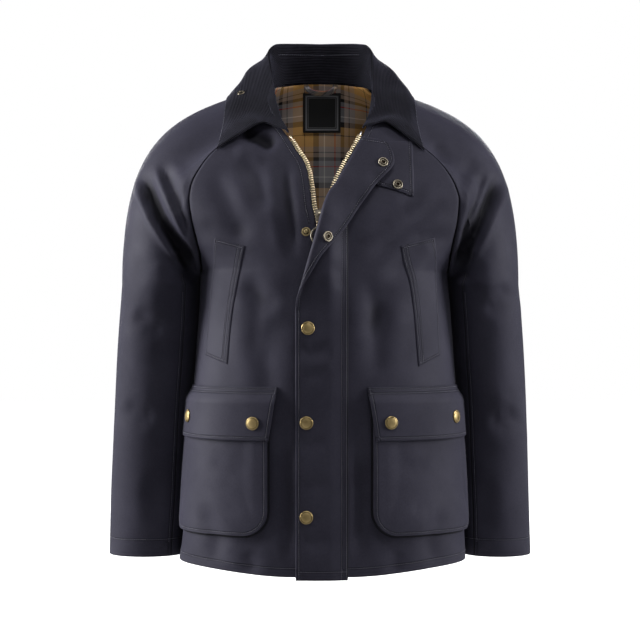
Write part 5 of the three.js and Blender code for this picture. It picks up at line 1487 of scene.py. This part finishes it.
# %% Both pockets
for side in SIDES:
    # more rows where the corner curves in fastest
    z = np.concatenate([POCKET_BOTTOM_Z + POCKET_CORNER * (1 - np.cos(np.linspace(0, math.pi / 2, 22)))[:-1],
                        np.linspace(POCKET_BOTTOM_Z + POCKET_CORNER, POCKET_TOP_Z, 50)])
    first = POCKET_START[side] + corner_inset(z)
    last = pocket_outer(side, z) - corner_inset(z)

    def pocket_lift(tall, share):
        rim = np.maximum(ramp(0.6, 0.82, np.abs(2 * share - 1)), ramp(62, 20, tall - POCKET_BOTTOM_Z))
        return POCKET_LIFT - POCKET_SINK * (1 - rim)

    def pocket_marks(flat):
        across = lengths(flat, 1)
        tall = flat[..., 2]
        inset = np.minimum(across, to_last(across))
        to_low = tall - POCKET_BOTTOM_Z
        corner = np.hypot(np.maximum(0, POCKET_CORNER - inset - corner_inset(tall)),
                          np.maximum(0, POCKET_CORNER - to_low))
        from_edge = np.minimum(np.minimum(inset + corner_inset(tall), to_low), POCKET_CORNER - corner)
        return nearest(from_edge - EDGE_STITCH, POCKET_TOP_Z - tall - POCKET_TOP_STITCH)

    top, normals = laid_piece(f"pocket_{side}_cloth", f"pocket_{side}", side, z, first, last, POCKET_COLUMNS,
                              pocket_lift, pocket_marks)
    turn = np.linspace(0, math.pi / 2, 16)
    line_z, line_s = pocket_line(side, float(EDGE_STITCH), POCKET_TOP_Z - 2, 40, turn, 30)
    row_i = np.interp(line_z, z, np.arange(len(z)))
    edge_low, edge_high = np.interp(line_z, z, first), np.interp(line_z, z, last)
    col_j = (line_s - edge_low) / (edge_high - edge_low) * (POCKET_COLUMNS - 1)
    stitches(f"pocket_{side}_stitching", top, normals, [(row_i, col_j)])

    # the folded strip under the edge
    line_z, line_s = pocket_line(side, GUSSET_INSET, POCKET_TOP_Z, 44, turn[1:], 28)
    track = unit(np.gradient(np.stack([line_s, line_z], -1), axis=0))
    fold = curve_rows(np.array([[[u, 0, h] for u, h in BELLOWS]], float), np.linspace(0, 1, 40)[None])[0]
    reach_s = line_s[:, None] - track[:, 1:] * fold[None, :, 0]
    reach_z = line_z[:, None] + track[:, :1] * fold[None, :, 0]
    here, out = front_frame(side, reach_z, reach_s)
    flat = here + out * fold[None, :, 2:3]
    middle = moved(flat, out, -front_sink(here))
    top, under = two_faces(middle, grid_normals(middle), GUSSET_CLOTH)
    # the fold mark at full strength paints the whole strip in shade
    piece = cloth_wall(f"pocket_gusset_{side}_cloth", top, under, shell_cloth, fold=np.ones(middle.shape[:2]))
    finish_cloth(piece, flat, f"pocket_gusset_{side}")

    # the flap over the opening
    z = np.linspace(POCKET_FLAP_BOTTOM_Z, POCKET_FLAP_TOP_Z, 44)
    down = (z - POCKET_FLAP_TOP_Z) / (POCKET_FLAP_BOTTOM_Z - POCKET_FLAP_TOP_Z)
    start, stop = POCKET_FLAP_START[side]
    first = length_at(side, z, start + (stop - start) * down - POCKET_FLAP_PAST[0])
    last = pocket_outer(side, z) + POCKET_FLAP_PAST[1]

    def flap_lift(tall, share):
        up = (tall - POCKET_FLAP_BOTTOM_Z) / (POCKET_FLAP_TOP_Z - POCKET_FLAP_BOTTOM_Z)
        sag = np.sin(math.pi * np.clip((share - 0.2) / 0.6, 0, 1)) ** 2 * (1 - up) ** 2
        return LAY + (FLAP_OVER_POCKET - LAY) * ramp(1, 0.68, up) + POCKET_FLAP_BULGE * sag

    def flap_marks(flat):
        across, tall = lengths(flat, 1), flat[..., 2]
        sides = np.minimum(across, to_last(across)) - EDGE_STITCH
        low_row = tall - POCKET_FLAP_BOTTOM_Z - EDGE_STITCH
        return nearest(sides, low_row, *(POCKET_FLAP_TOP_Z - tall - inset for inset in POCKET_FLAP_STITCHES))

    top, normals = laid_piece(f"pocket_flap_{side}_cloth", f"pocket_flap_{side}", side, z, first, last, 96,
                              flap_lift, flap_marks)
    rows = (("low", EDGE_STITCH, 4, 4), ("left", EDGE_STITCH, 4, 9), ("right", EDGE_STITCH, 4, 9),
            *(("high", inset, 1, 1) for inset in POCKET_FLAP_STITCHES))
    stitches(f"pocket_flap_{side}_stitching", top, normals, [row_line(top, *row) for row in rows])
print("pockets:", {name: size for name, size in flat_sizes.items() if name.startswith("pocket")})

# %% [markdown]
# ## Chest welts
# Each hand pocket at the chest is a slanted welt, sewn all round but for its opening edge.

# %% Chest welts
WELT_LIFT, WELT_STITCH, WELT_INNER_STITCH = 0.3, 3, 9
WELT_THICK = POCKET_CLOTH * 0.4
WELT = {
    "right": {"top": [-212, -200], "bottom": [-372, -360],
              "inner": [[-212, 102], [-273, 114], [-318, 121], [-372, 126]],
              "outer": [[-200, 143], [-286, 152], [-360, 158]]},
    "left": {"top": [-212, -200], "bottom": [-375, -360],
             "inner": [[-212, 110], [-287, 126], [-375, 134]],
             "outer": [[-200, 158], [-263, 161], [-360, 165]]},
}
for side in SIDES:
    shape = WELT[side]
    t, up = np.linspace(0, 1, 22)[None], np.linspace(0, 1, 70)[:, None]
    z = between(between(*shape["bottom"], t), between(*shape["top"], t), up)
    x = SIGN[side] * (smooth(shape["inner"], z) * (1 - t) + smooth(shape["outer"], z) * t)
    flat = chest_point(x, z, 0)
    normals = outward(flat)
    across, along = lengths(flat, 1), lengths(flat, 0)
    rim = np.minimum(np.minimum(across, to_last(across)), np.minimum(along, along[-1:] - along))
    high = WELT_LIFT * (1 + ramp(0, 3, rim)) - front_sink(flat)
    top = moved(flat, normals, high + WELT_THICK)
    piece = cloth_wall(f"chest_welt_{side}_cloth", top, moved(flat, normals, high), shell_cloth,
                       stitch=nearest(rim - WELT_STITCH, across - WELT_INNER_STITCH))
    finish_cloth(piece, flat, f"chest_welt_{side}")
    rows = [(edge, WELT_STITCH) for edge in ("left", "right", "low", "high")] + [("left", WELT_INNER_STITCH)]
    stitches(f"chest_welt_{side}_stitching", top, normals, [row_line(top, *row, 3, 3) for row in rows])
print("welts:", flat_sizes["chest_welt_right_cloth"], flat_sizes["chest_welt_left_cloth"])

# %% [markdown]
# ## The zip
# The teeth are cast blocks on the edges of two woven tapes. The two rows stand half a step apart, so that
# they mesh below the slider. Each tooth is a block with its edges rounded by a bevel.

# %% Teeth, stops and tapes
TAPE_WIDTH, TAPE_BEHIND, CHAIN_REACH, CHAIN_WIDE, STOP_LENGTH = 15, SHELL + 2 * LAY, 4.9, 3.6, 8
ZIP_LOW_Z, ZIP_TOP_Z = HEM_Z + 12, {"right": -57, "left": -51}
TOOTH_PITCH = 3.6
TOOTH, STOP = (2.9, 0.8, 1.8), (1.3, 3.6, 1.3)      # half sizes across, along and out
TOOTH_SHIFT = -0.3      # the teeth stand a little out of the tape
TAPE_INSET, TAPE_SHOWS = 0.6, 2.1      # the tape's edge behind the teeth, and how much more shows where open


def round_edges(thing, width_mm, sharp):
    """A bevel of two segments on the edges that turn by more than an angle in degrees."""
    bevel = thing.modifiers.new("rounded", "BEVEL")
    bevel.width = width_mm * MM
    bevel.segments = 2
    bevel.limit_method = "ANGLE"
    bevel.angle_limit = math.radians(sharp)


def blocks(name, centres, axes, half_sizes, material, node, rounded_mm):
    """Joined boxes at centres along their own axes (n, 3, 3), with a bevel on every edge."""
    corner = np.array([[a, b, c] for a in (-1, 1) for b in (-1, 1) for c in (-1, 1)], float) * half_sizes
    points = centres[:, None] + np.einsum("kc,ncd->nkd", corner, axes)
    faces = np.array([[0, 1, 3, 2], [4, 6, 7, 5], [0, 4, 5, 1], [2, 3, 7, 6], [0, 2, 6, 4], [1, 5, 7, 3]])
    faces = copies(outward_faces(points[0] - centres[0], faces), 8, len(centres))
    thing = make_object(name, points.reshape(-1, 3), faces, material)
    round_edges(thing, rounded_mm, 30)
    stand_for(thing, node)


def edge_frames(side, places):
    """Centres and axes (across, along, out) of blocks at lengths along the zip's edge."""
    z = np.linspace(ZIP_LOW_Z, ZIP_TOP_Z[side], 900)
    x = SIGN[side] * (smooth(FRONT_EDGE[side], z) - CHAIN_REACH + CHAIN_WIDE / 2 + TOOTH_SHIFT)
    line = chest_point(x, z, 0)
    length = run_length(line)
    places = places(length[-1])
    along, out = (unit(at_lengths(places, length, values))
                  for values in (unit(np.gradient(line, axis=0)), chest_normal(x, z)))
    centre = at_lengths(places, length, line)
    across = unit(np.cross(along, out))
    return centre, np.stack([across, along, np.cross(across, along)], axis=1)


print("a tooth is, mm:", [2 * half for half in TOOTH])

# %% Both sides of the zip
for side in SIDES:
    first = 1.0 if side == "left" else 0.5      # the left row stands half a step further on
    centres, axes = edge_frames(
        side, lambda total: np.arange(first, (total - STOP_LENGTH - 1) / TOOTH_PITCH) * TOOTH_PITCH)
    blocks(f"zip_teeth_{side}_blocks", centres, axes, TOOTH, zip_metal, f"zip_teeth_{side}", 0.45)
    print("teeth", side, len(centres))
    centres, axes = edge_frames(side, lambda total: np.array([total - STOP_LENGTH / 2]))
    blocks(f"zip_stop_{side}_block", centres, axes, STOP, steel if side == "left" else zip_metal,
           f"zip_stop_{side}", 0.7)
    z = heights((ZIP_LOW_Z, -190, 110), (-190, ZIP_TOP_Z[side] - STOP_LENGTH, 50))
    inner = smooth(FRONT_EDGE[side], z) - CHAIN_REACH + TAPE_INSET - TAPE_SHOWS * ramp(-176, -166, z)
    x = SIGN[side] * (inner[:, None] + TAPE_WIDTH * np.linspace(0, 1, 8)[None])
    flat = chest_point(x, np.broadcast_to(z[:, None], x.shape), -TAPE_BEHIND)
    piece = cloth_wall(f"zip_tape_{side}_cloth", flat, flat - outward(flat) * LINING, tape_cloth)
    finish_cloth(piece, flat, f"zip_tape_{side}")

# %% [markdown]
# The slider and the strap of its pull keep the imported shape. A merged copy of each gets rounded edges.
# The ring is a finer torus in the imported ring's place.

# %% Slider and pull
def node_points(name):
    """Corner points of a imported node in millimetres."""
    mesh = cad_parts[name].data
    points = np.empty(len(mesh.vertices) * 3)
    mesh.vertices.foreach_get("co", points)
    return points.reshape(-1, 3) / MM


def weld(mesh, distance, flatten=False):
    """Merge points closer than a distance in metres. Flatten also joins the faces of one plane."""
    shape = bmesh.new()
    shape.from_mesh(mesh)
    bmesh.ops.remove_doubles(shape, verts=shape.verts, dist=distance)
    if flatten:
        bmesh.ops.dissolve_limit(shape, angle_limit=math.radians(1), verts=shape.verts, edges=shape.edges)
        bmesh.ops.recalc_face_normals(shape, faces=shape.faces)
    shape.to_mesh(mesh)
    shape.free()


def rounded_copy(name, body, width_mm):
    """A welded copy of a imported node, bevelled on its sharp edges."""
    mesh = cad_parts[name].data.copy()
    weld(mesh, 2e-6, True)
    mesh.materials.clear()
    mesh.materials.append(antique)
    thing = bpy.data.objects.new(f"{name}_metal", mesh)
    bpy.context.scene.collection.objects.link(thing)
    round_edges(thing, width_mm, 40)
    stand_for(thing, name, body)


rounded_copy("zip_slider", "root", 0.4)
rounded_copy("pull_strap", "zip_pull", 0.3)

ring_points = node_points("pull_ring")
centre = ring_points.mean(0)
first, second, axis = np.linalg.svd(ring_points - centre)[2]
RING_RADIUS, WIRE_RADIUS, RING_STEPS, WIRE_STEPS = 11.8, 1.15, 72, 18
a = np.linspace(0, 2 * math.pi, RING_STEPS, endpoint=False)[:, None, None]
b = np.linspace(0, 2 * math.pi, WIRE_STEPS, endpoint=False)[None, :, None]
spoke = first * np.cos(a) + second * np.sin(a)
ring = centre + spoke * (RING_RADIUS + WIRE_RADIUS * np.cos(b)) + axis * WIRE_RADIUS * np.sin(b)
ring = ring.reshape(-1, 3)
i, j = grid_cells(RING_STEPS + 1, WIRE_STEPS, True)
faces = outward_faces(ring - centre, i % RING_STEPS * WIRE_STEPS + j % WIRE_STEPS)
stand_for(make_object("pull_ring_metal", ring, faces, antique), "pull_ring", "zip_pull")
print("ring centre", centre.round(2))

# %% [markdown]
# ## Snaps
# Snap caps, sockets and the stud are turned parts: a profile spun about an axis. The imported node gives
# the seat, and the profile adds what a press tool leaves: a rolled rim, a groove, a hollow centre.

# %% Profiles of the snaps
# Profiles from the middle of the underside, out and over the top: radius, height, and how much painted shade
# darkens the spot, in hollows, under the rim and in open centres
CAP = [[0, 0, 0], [8.5, 0, 0.6], [8.9, 0.25, 0.4], [9, 0.7, 0], [8.9, 1.2, 0], [8.6, 1.75, 0], [8.1, 2.05, 0],
       [7.7, 2.05, 0.3], [7.4, 1.9, 0.85], [7.15, 1.92, 0.85], [6.8, 2.15, 0.2], [6.2, 2.35, 0],
       [4.8, 2.65, 0], [3.2, 2.85, 0], [1.6, 2.96, 0], [0, 3, 0]]
SOCKET = [[0, 0, 0], [6.9, 0, 0.6], [7.15, 0.3, 0.4], [7.2, 0.8, 0], [7.0, 1.3, 0], [6.5, 1.58, 0],
          [5.9, 1.6, 0], [5.4, 1.3, 0.3], [5.05, 0.85, 0.8], [4.5, 0.7, 0.9], [3.9, 0.85, 0.75],
          [3.5, 1.3, 0.2], [3.1, 1.5, 0.1], [2.75, 1.3, 0.5], [2.6, 0.9, 0.95], [2.5, 0.35, 1], [0, 0.3, 1]]
STUD = [[0, 0, 0], [5.9, 0, 0.6], [6.15, 0.25, 0.3], [6.15, 0.6, 0], [5.8, 0.88, 0], [5.0, 0.95, 0],
        [4.3, 0.8, 0.4], [3.5, 0.85, 0.8], [2.9, 1.2, 0.9], [2.55, 1.8, 0.6], [2.7, 2.5, 0.1], [2.8, 3.0, 0],
        [2.4, 3.45, 0], [1.6, 3.68, 0], [0.9, 3.6, 0.2], [0, 3.5, 0.5]]
EYELET = [[0, 0, 0], [5.1, 0, 0.6], [5.35, 0.25, 0.4], [5.35, 0.7, 0], [5.0, 1.15, 0], [4.3, 1.38, 0],
          [3.5, 1.3, 0.1], [2.9, 0.95, 0.5], [2.55, 0.45, 0.9], [0, 0.3, 1]]


print("cap, mm across:", 2 * max(row[0] for row in CAP))

# %% Turned parts
SEGMENTS = 44


def turned(profile, node, material, shift=0.0):
    """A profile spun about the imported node's axis, on the node's own seat."""
    points = node_points(node)
    centre = points.mean(0)
    first, second, axis = np.linalg.svd(points - centre)[2]
    if axis @ (centre * [1, 1, 0]) < 0:
        axis = -axis
    seat = centre + axis * (np.min((points - centre) @ axis) - shift)
    profile = np.array(profile, float)
    angle = np.linspace(0, 2 * math.pi, SEGMENTS, endpoint=False)[None, :, None]
    spoke = first * np.cos(angle) + second * np.sin(angle)
    spun = seat + spoke * profile[:, None, :1] + axis * profile[:, None, 1:2]
    i, j = grid_cells(len(profile), SEGMENTS, True)
    flat = spun.reshape(-1, 3)
    faces = outward_faces(flat - seat, i * SEGMENTS + j % SEGMENTS)
    # painted shade for hollows and undersides, from each profile's third column
    hollow_shade = np.repeat(profile[:, 2], SEGMENTS)
    thing = make_object(f"{node}_metal", flat, faces, material, marks={"hollow_shade": hollow_shade})
    weld(thing.data, 1e-7)
    stand_for(thing, node)


def cloth_shift(node, creases=()):
    """How far the cloth under a trim sinks, so that the trim goes with it."""
    middle = node_points(node).mean(0)[None]
    return float(front_sink(middle)[0] + sink(middle[:, 0], middle[:, 2], creases)[0])


for k in (1, 2, 3):
    turned(CAP, f"flap_cap_{k}", brass, cloth_shift(f"flap_cap_{k}", FLAP_CREASES))
for k in (1, 2):
    turned(SOCKET, f"flap_socket_{k}", antique, cloth_shift(f"flap_socket_{k}", FLAP_CREASES))
for node, side in ((f"pocket_cap_{side}_{k}", side) for side in SIDES for k in (1, 2)):
    turned(CAP, node, brass, cloth_shift(node, POCKET_CREASES[side]))
turned(SOCKET, "tab_socket", antique, cloth_shift("tab_socket"))
turned(STUD, "chest_stud", old_brass, cloth_shift("chest_stud"))
turned(EYELET, "collar_eyelet", antique)
print("turned parts:", len([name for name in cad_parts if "cap" in name or "socket" in name]) + 2)

# %% [markdown]
# ## Lining, label and hanger loop
# The check lining shows inside the back through the open neck. It hangs a little inside the back and
# follows the same creases. The label lies on it, and the loop hangs from the neck seam.

# %% Lining
BEHIND = SHELL + 3 * LAY
LINING_LOW_Z, LINING_TOP_Z, LINING_MARGIN = -220.3, 35.4, 5
LINING_ROWS, LINING_HALF = np.linspace(LINING_LOW_Z, LINING_TOP_Z, 92), 44
lining_flat = back_grid(LINING_ROWS, LINING_MARGIN, LINING_HALF)
normals = outward(lining_flat)
deep = BEHIND + sink(lining_flat[..., 0], lining_flat[..., 2], BACK_CREASES)
# the fold mark here is painted shade, darker towards the bottom of the neck
lining_piece = cloth_wall("lining_back_cloth", moved(lining_flat, normals, -(deep + LINING)),
                          moved(lining_flat, normals, -deep), lining_check, grain=LINING_HALF - 1,
                          fold=1 - ramp(-85, 5, lining_flat[..., 2]))


def lining_y(x, z):
    """Depth of the lining's inner face: the back's section, moved in along its slope."""
    bow = np.clip((z - BOW_START_Z) / (BACK_TOP_Z - BOW_START_Z), 0, 1) * (BACK_TOP_Z - BACK_SEAM_TOP_Z)

    def depth(height):
        deep_here = smooth(BACK_DEPTH, height)
        return depth_at(x, full_width(*limit(BACK_SEAM, "right", height), deep_here), deep_here, 0.99)

    centre_z = z + bow * (x / limit(BACK_SEAM, "right", z)[0]) ** 2
    slope = (depth(centre_z + 1) - depth(centre_z - 1)) / 2
    return depth(centre_z) - (BEHIND + LINING + sink(x, z, BACK_CREASES)) * np.sqrt(1 + slope ** 2)


print("lining: columns", lining_flat.shape[1], "rows", len(LINING_ROWS))

# %% Neck label
LABEL_X, LABEL_Z, LABEL_THICK = (-24.8, 30.2), (-34.2, 20.8), 0.8
x, z = np.meshgrid(np.linspace(*LABEL_X, 40), np.linspace(*LABEL_Z, 40))
flat = np.stack([x, lining_y(x, z) - 2 * LAY, z], -1)
normals = outward(flat)
rim = np.minimum(np.minimum(x - LABEL_X[0], LABEL_X[1] - x), np.minimum(z - LABEL_Z[0], LABEL_Z[1] - z))
soft = moved(flat, normals, -0.5 * ramp(0, 3, rim))
label_material = label_cloth(lengths(flat, 1)[:, -1].mean(), lengths(flat, 0)[-1].mean())
piece = cloth_wall("neck_label_cloth", soft - normals * LABEL_THICK, flat, label_material)
finish_cloth(piece, flat, "neck_label")
packed_low, own_low = (points.min(0).round(1) for points in (node_points("neck_label"), flat.reshape(-1, 3)))
print("label's low corner, packed and here:", packed_low, own_low)

# %% Hanger loop
LOOP = {"width": 6.5, "thick": 1.2, "off": 6, "ends": 1.6, "anchor": 27}
LOOP_LINE = [[-21.2, 34.5], [-18.5, 27], [-8, 21], [5, 19.8], [15, 21.8], [21, 27], [23, 34.5]]
share = np.linspace(0, 1, 70)
guide = [[x, 0, z] for x, z in LOOP_LINE]
line = path(guide, share)
along = unit(path(guide, np.minimum(1, share + 0.02)) - path(guide, np.maximum(0, share - 0.02)))
half = np.linspace(-0.5, 0.5, 8)[None]
x = line[:, :1] - along[:, 2:] * half * LOOP["width"]
z = np.minimum(35.5, line[:, 2:] + along[:, :1] * half * LOOP["width"])
stand = (LOOP["ends"] + LOOP["off"] * np.sin(math.pi * share))[:, None]
seam_y = smooth(BACK_DEPTH, z) - SHELL - 5 * LAY - LINING
flat = np.stack([x, np.minimum(seam_y, lining_y(x, np.minimum(z, LOOP["anchor"]))) - stand, z], -1)
normals = grid_normals(flat)
thick = LOOP["thick"] * (0.5 - 0.16 * np.abs(2 * half[..., None]) ** 3)
loop = cloth_wall("hanger_loop_cloth", flat + normals * thick, flat - normals * thick, loop_check)
stand_for(loop, "hanger_loop")
finish_cloth(lining_piece, lining_flat, "lining_back", False)
print("lining:", flat_sizes["lining_back_cloth"])

# %% [markdown]
# ## Stage and light
# The floor is plain and pale and lies well below the jacket, which is carried at the neck. Two wide soft
# lights at the sides make the sleeves bright and leave the front dark, as in the picture. A soft top light
# lifts the shoulders, a weak one in front fills the chest, and two behind show the back.

# %% Floor
def stage_material(name, colour):
    """Pale floor that also glows softly, so that it stays even."""
    material, tree, shader = new_material(name)
    rays = tree.nodes.new("ShaderNodeLightPath")
    settings(tree, shader, {"Base Color": colour, "Roughness": 0.9, "Emission Color": (1.0, 1.0, 1.0),
                            "Emission Strength": rays.outputs["Is Camera Ray"]})
    return material


FLOOR_HALF, FLOOR_Z = 9000, -860
floor_points = np.array([[-1, -1, 0], [1, -1, 0], [1, 1, 0], [-1, 1, 0]]) * FLOOR_HALF + [0, 0, FLOOR_Z]
floor_material = stage_material("floor", (0.35, 0.35, 0.35))
floor = make_object("floor", floor_points, np.array([[0, 1, 2, 3]]), floor_material)
print("floor, mm below the neck:", -FLOOR_Z)

# %% Lights and backdrop
def soft_light(name, place, aim_z, size, power):
    """A rectangular area light aimed at a height of the middle line."""
    data = bpy.data.lights.new(name, "AREA")
    data.shape = "RECTANGLE"
    data.size, data.size_y = size
    data.energy = power
    light = bpy.data.objects.new(name, data)
    light.location = place
    direction = unit(np.array([0, 0, aim_z]) - np.array(place, float))
    light.rotation_euler = (math.acos(-direction[2]), 0, math.atan2(direction[1], direction[0]) - math.pi / 2)
    bpy.context.scene.collection.objects.link(light)


soft_light("left_side", (-2.3, -0.05, 0.35), -0.25, (0.8, 1.6), 180)
soft_light("right_side", (2.3, -0.25, 0.35), -0.25, (0.8, 1.6), 105)
soft_light("top", (0.3, -1.0, 1.9), -0.2, (1.0, 0.6), 38)
soft_light("front", (0.3, -3.4, 0.9), -0.3, (1.0, 0.8), 11)
soft_light("back_left", (-1.4, 2.6, 0.7), -0.3, (0.7, 1.0), 34)
soft_light("back_right", (0.9, 2.6, 1.1), -0.3, (0.7, 1.0), 62)

world = bpy.data.worlds.new("world")
bpy.context.scene.world = world
world.use_nodes = True
backdrop = world.node_tree.nodes["Background"]
backdrop.inputs["Color"].default_value = (1, 1, 1, 1)
rays = world.node_tree.nodes.new("ShaderNodeLightPath")
seen = maths(world.node_tree, "MULTIPLY_ADD", rays.outputs["Is Camera Ray"], 0.93, 0.07)
world.node_tree.links.new(seen, backdrop.inputs["Strength"])
bpy.context.scene.view_settings.view_transform = "Standard"
print("lights:", len(bpy.data.lights))

# %% Flat sizes
print("flat sizes, mm and cm2:", flat_sizes)
